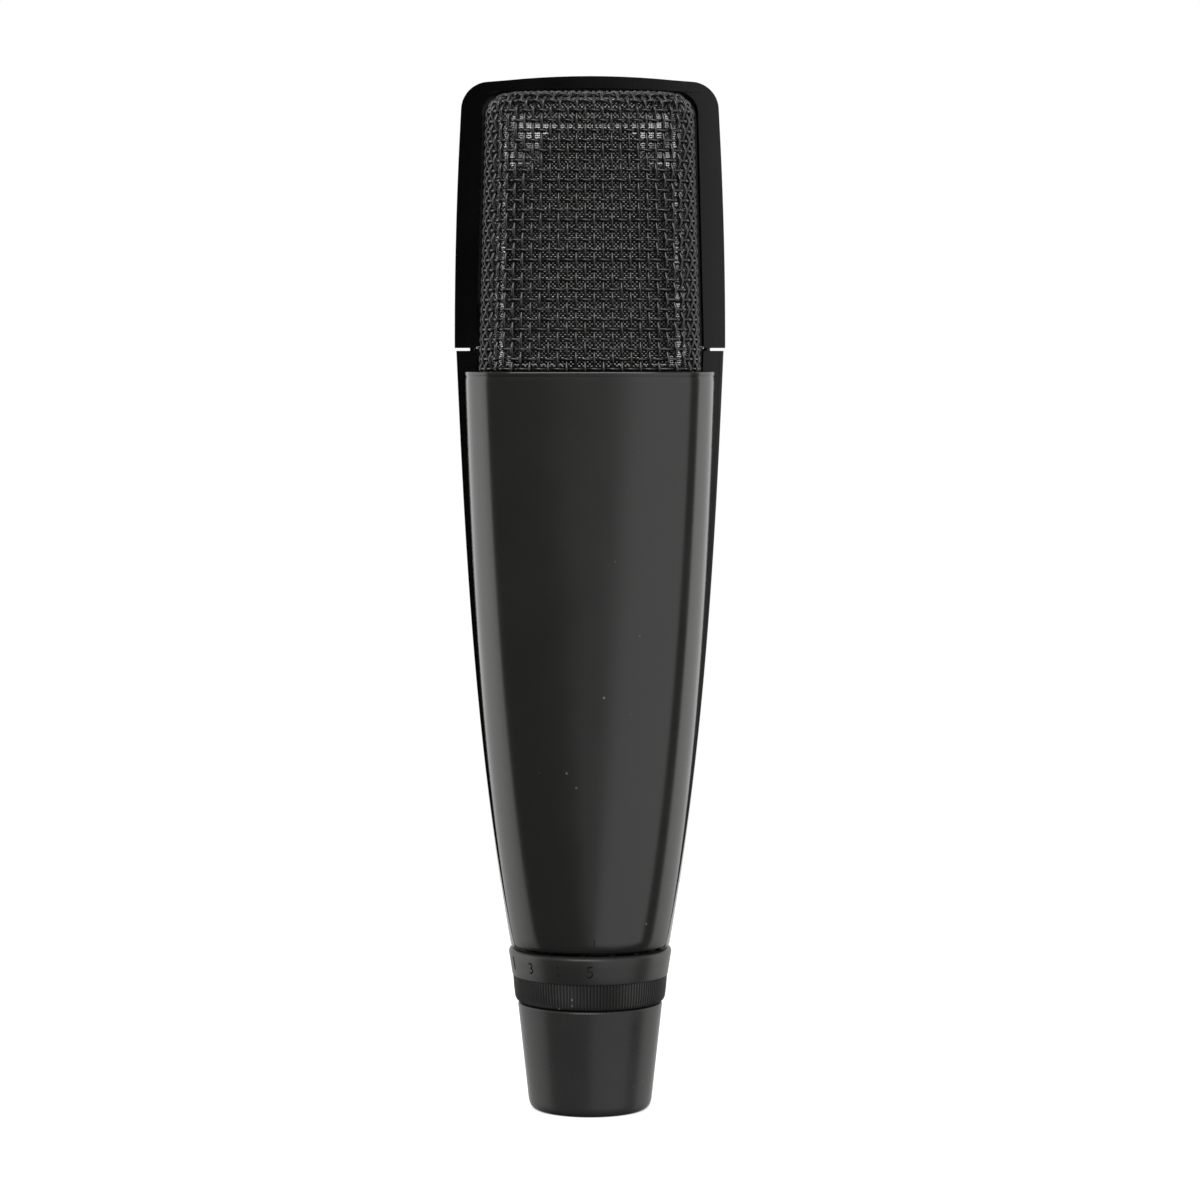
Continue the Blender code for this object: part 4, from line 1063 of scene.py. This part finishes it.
def connector_sleeve():
    """The tapered black metal sleeve round the cable socket."""
    foot, foot_z, bore, seat = 11.27, 1.95, 9.6, 11.2
    top, top_z = SLEEVE_TOP_RADIUS, SLEEVE_TOP - 0.36
    outer = [(top - 0.42, SLEEVE_TOP), (top - 0.12, SLEEVE_TOP - 0.10), (top, top_z)]
    outer += [(top + (foot - top) * t, top_z + (foot_z - top_z) * t) for t in (0.33, 0.66, 1)]
    for degrees in (15, 30, 45, 60, 75, 90):
        turn = math.radians(degrees)
        outer.append((foot - 0.06 - 1.34 * (1 - math.cos(turn)), 1.9 - 1.9 * math.sin(turn)))
    inner = [(bore + 0.15, 0), (bore, 0.15), (bore, 12.0)]
    inner += [(seat, 12.0), (seat, SLEEVE_TOP - 0.15), (seat + 0.15, SLEEVE_TOP)]
    mesh = turned(outer + inner)
    mesh = carved(mesh, [rod(1.1, 6, (0, 12.0, 15.6), (0, 1, 0), 32)])
    piece("tapered_sleeve", mesh, "black_metal", "chassis", "connector_sleeve", smooth=30)
    slotted_screw("set_screw_slotted", (0, 12.3, 15.6), (0, 1, 0), 0.8, 0.5, 0.8, 0.45, "sleeve_set_screw")


# ---------------------------------------------------------------- capsule


def capsule():
    """The capsule's can and its pierced cap with the raised middle."""
    base = low("capsule_base").z
    outer, inner = CAPSULE_RADIUS, CAPSULE_RADIUS - 1.0
    section = [(outer, base + 31.2), (outer, base + 1.4), (inner + 0.2, base + 1.4)]
    section += [(inner + 0.2, base + 2.4), (inner, base + 2.6), (inner, base + 31.2)]
    piece("capsule_can", turned(rounded(section, 0.3), 128), "black_metal", "chassis", "capsule_housing")
    foot, shoulder, crest = base + 31.5, base + 36.1, high("capsule_cap").z
    turret = 9.2
    outside = [(0, crest), (5.0, crest - 0.06), (7.4, crest - 0.22), (8.5, crest - 0.6)]
    outside += [(turret - 0.1, crest - 1.2), (turret, crest - 1.8), (turret, shoulder + 0.35)]
    outside += [(turret + 0.35, shoulder), (13.2, shoulder - 0.35), (14.5, shoulder - 0.9)]
    outside += [(outer, shoulder - 2.0), (outer, foot)]
    inside = [(13.9, foot), (13.9, shoulder - 2.4), (12.8, shoulder - 1.5), (7.9, shoulder - 1.1)]
    inside += [(7.9, crest - 1.8), (6.9, crest - 1.3), (0, crest - 1.2)]
    mesh = turned(outside + inside, 96)
    cutters = [rod(1.6, 4, (0, 0, crest), steps=32)]
    for i in range(6):
        turn = 2 * math.pi * (i + 0.47) / 6
        cutters.append(rod(1.3, 4, (4.9 * math.cos(turn), 4.9 * math.sin(turn), crest), steps=32))
    piece("capsule_turret_cap", carved(mesh, cutters), "black_metal", "chassis", "capsule_cap", smooth=30)


# ---------------------------------------------------------------- stage


def world_light():
    """A white sweep that wraps round behind and beside the object, over a dim room in front."""
    world = bpy.data.worlds.new("studio")
    bpy.context.scene.world = world
    world.use_nodes = True
    tree = world.node_tree
    tree.nodes.clear()
    where = node(tree, "ShaderNodeTexCoord")
    parts = node(tree, "ShaderNodeSeparateXYZ", Vector=where.outputs["Generated"])
    skewed = maths(tree, "MULTIPLY_ADD", parts.outputs["X"], SWEEP_SKEW, parts.outputs["Y"])
    sweep = remap(tree, skewed, SWEEP_EDGE - SWEEP_SOFTNESS, SWEEP_EDGE + SWEEP_SOFTNESS)
    behind = remap(tree, parts.outputs["Y"], BEHIND_FROM, BEHIND_TO)
    cards = blend_colour(tree, behind, CARD_COLOUR, SWEEP_COLOUR)
    below = remap(tree, parts.outputs["Z"], BELOW_FROM, BELOW_TO)
    overhead = remap(tree, parts.outputs["Z"], OVERHEAD_FROM, OVERHEAD_TO)
    level = blend_colour(tree, sweep, ROOM_COLOUR, cards)
    around = blend_colour(tree, overhead, level, OVERHEAD_COLOUR)
    whole = blend_colour(tree, below, FLOOR_LIGHT, around)
    lit = node(tree, "ShaderNodeBackground", Color=whole, Strength=1.0)
    white = node(tree, "ShaderNodeBackground", Color=(1.0, 1.0, 1.0, 1.0), Strength=1.0)
    path = node(tree, "ShaderNodeLightPath")
    mixed = node(tree, "ShaderNodeMixShader", Fac=path.outputs["Is Camera Ray"])
    tree.links.new(lit.outputs["Background"], mixed.inputs[1])
    tree.links.new(white.outputs["Background"], mixed.inputs[2])
    node(tree, "ShaderNodeOutputWorld", Surface=mixed.outputs["Shader"])


def floor():
    """A pale round table top, white in view and soft under the foot."""
    rim = polar(FLOOR_RADIUS, FLOOR_RADIUS, 2, np.linspace(0, 2 * math.pi, 97)[:-1])
    mesh = lofted([[(x, y, z) for x, y in rim] for z in (-6, -0.02)])
    mesh.transform(Matrix.Scale(MM, 4))
    obj = placed("floor", mesh)
    paint, tree, shader = new_material("pale_floor")
    feed(tree, shader, Base_Color=(0.85, 0.85, 0.85, 1.0), Roughness=0.9, Specular_IOR_Level=0.0)
    feed(tree, shader, Emission_Color=(1.0, 1.0, 1.0, 1.0), Emission_Strength=0.62)
    mesh.materials.append(paint)
    obj.visible_glossy = False
    obj.visible_diffuse = False
    obj.visible_shadow = False


def softbox(name, location, target, size, power):
    data = bpy.data.lights.new(name, "AREA")
    data.shape = "RECTANGLE"
    data.size, data.size_y = size
    data.energy = power
    obj = placed(name, data)
    obj.location = location
    obj.rotation_euler = (Vector(target) - Vector(location)).to_track_quat("-Z", "Y").to_euler()
    obj.visible_camera = False


def camera():
    """A long lens in front, above the middle and pitched down to it."""
    data = bpy.data.cameras.new("camera")
    data.sensor_width = 36.0
    data.lens = 116.52
    data.clip_start = 0.01
    obj = placed("camera", data)
    obj.location = (0.0018, -0.7036, 0.13825)
    obj.rotation_euler = (math.radians(90 - 3.683), 0, 0)
    bpy.context.scene.camera = obj


camera()
world_light()
floor()
softbox("right_panel", (0.588, -0.809, 0.06), (0, 0, 0.1), (1.37, 1.5), 6.8)
softbox("high_front", (-0.15, -0.95, 0.95), (0, 0, 0.12), (0.9, 0.7), 9.0)
dress_cad_nodes()
shell("front_satin_shell", -1, "front_shell")
shell("rear_satin_shell", 1, "rear_shell")
spine()
clamp_rail()
basket()
selector_ring()
connector_sleeve()
capsule()
bpy.context.scene.view_settings.view_transform = "Standard"
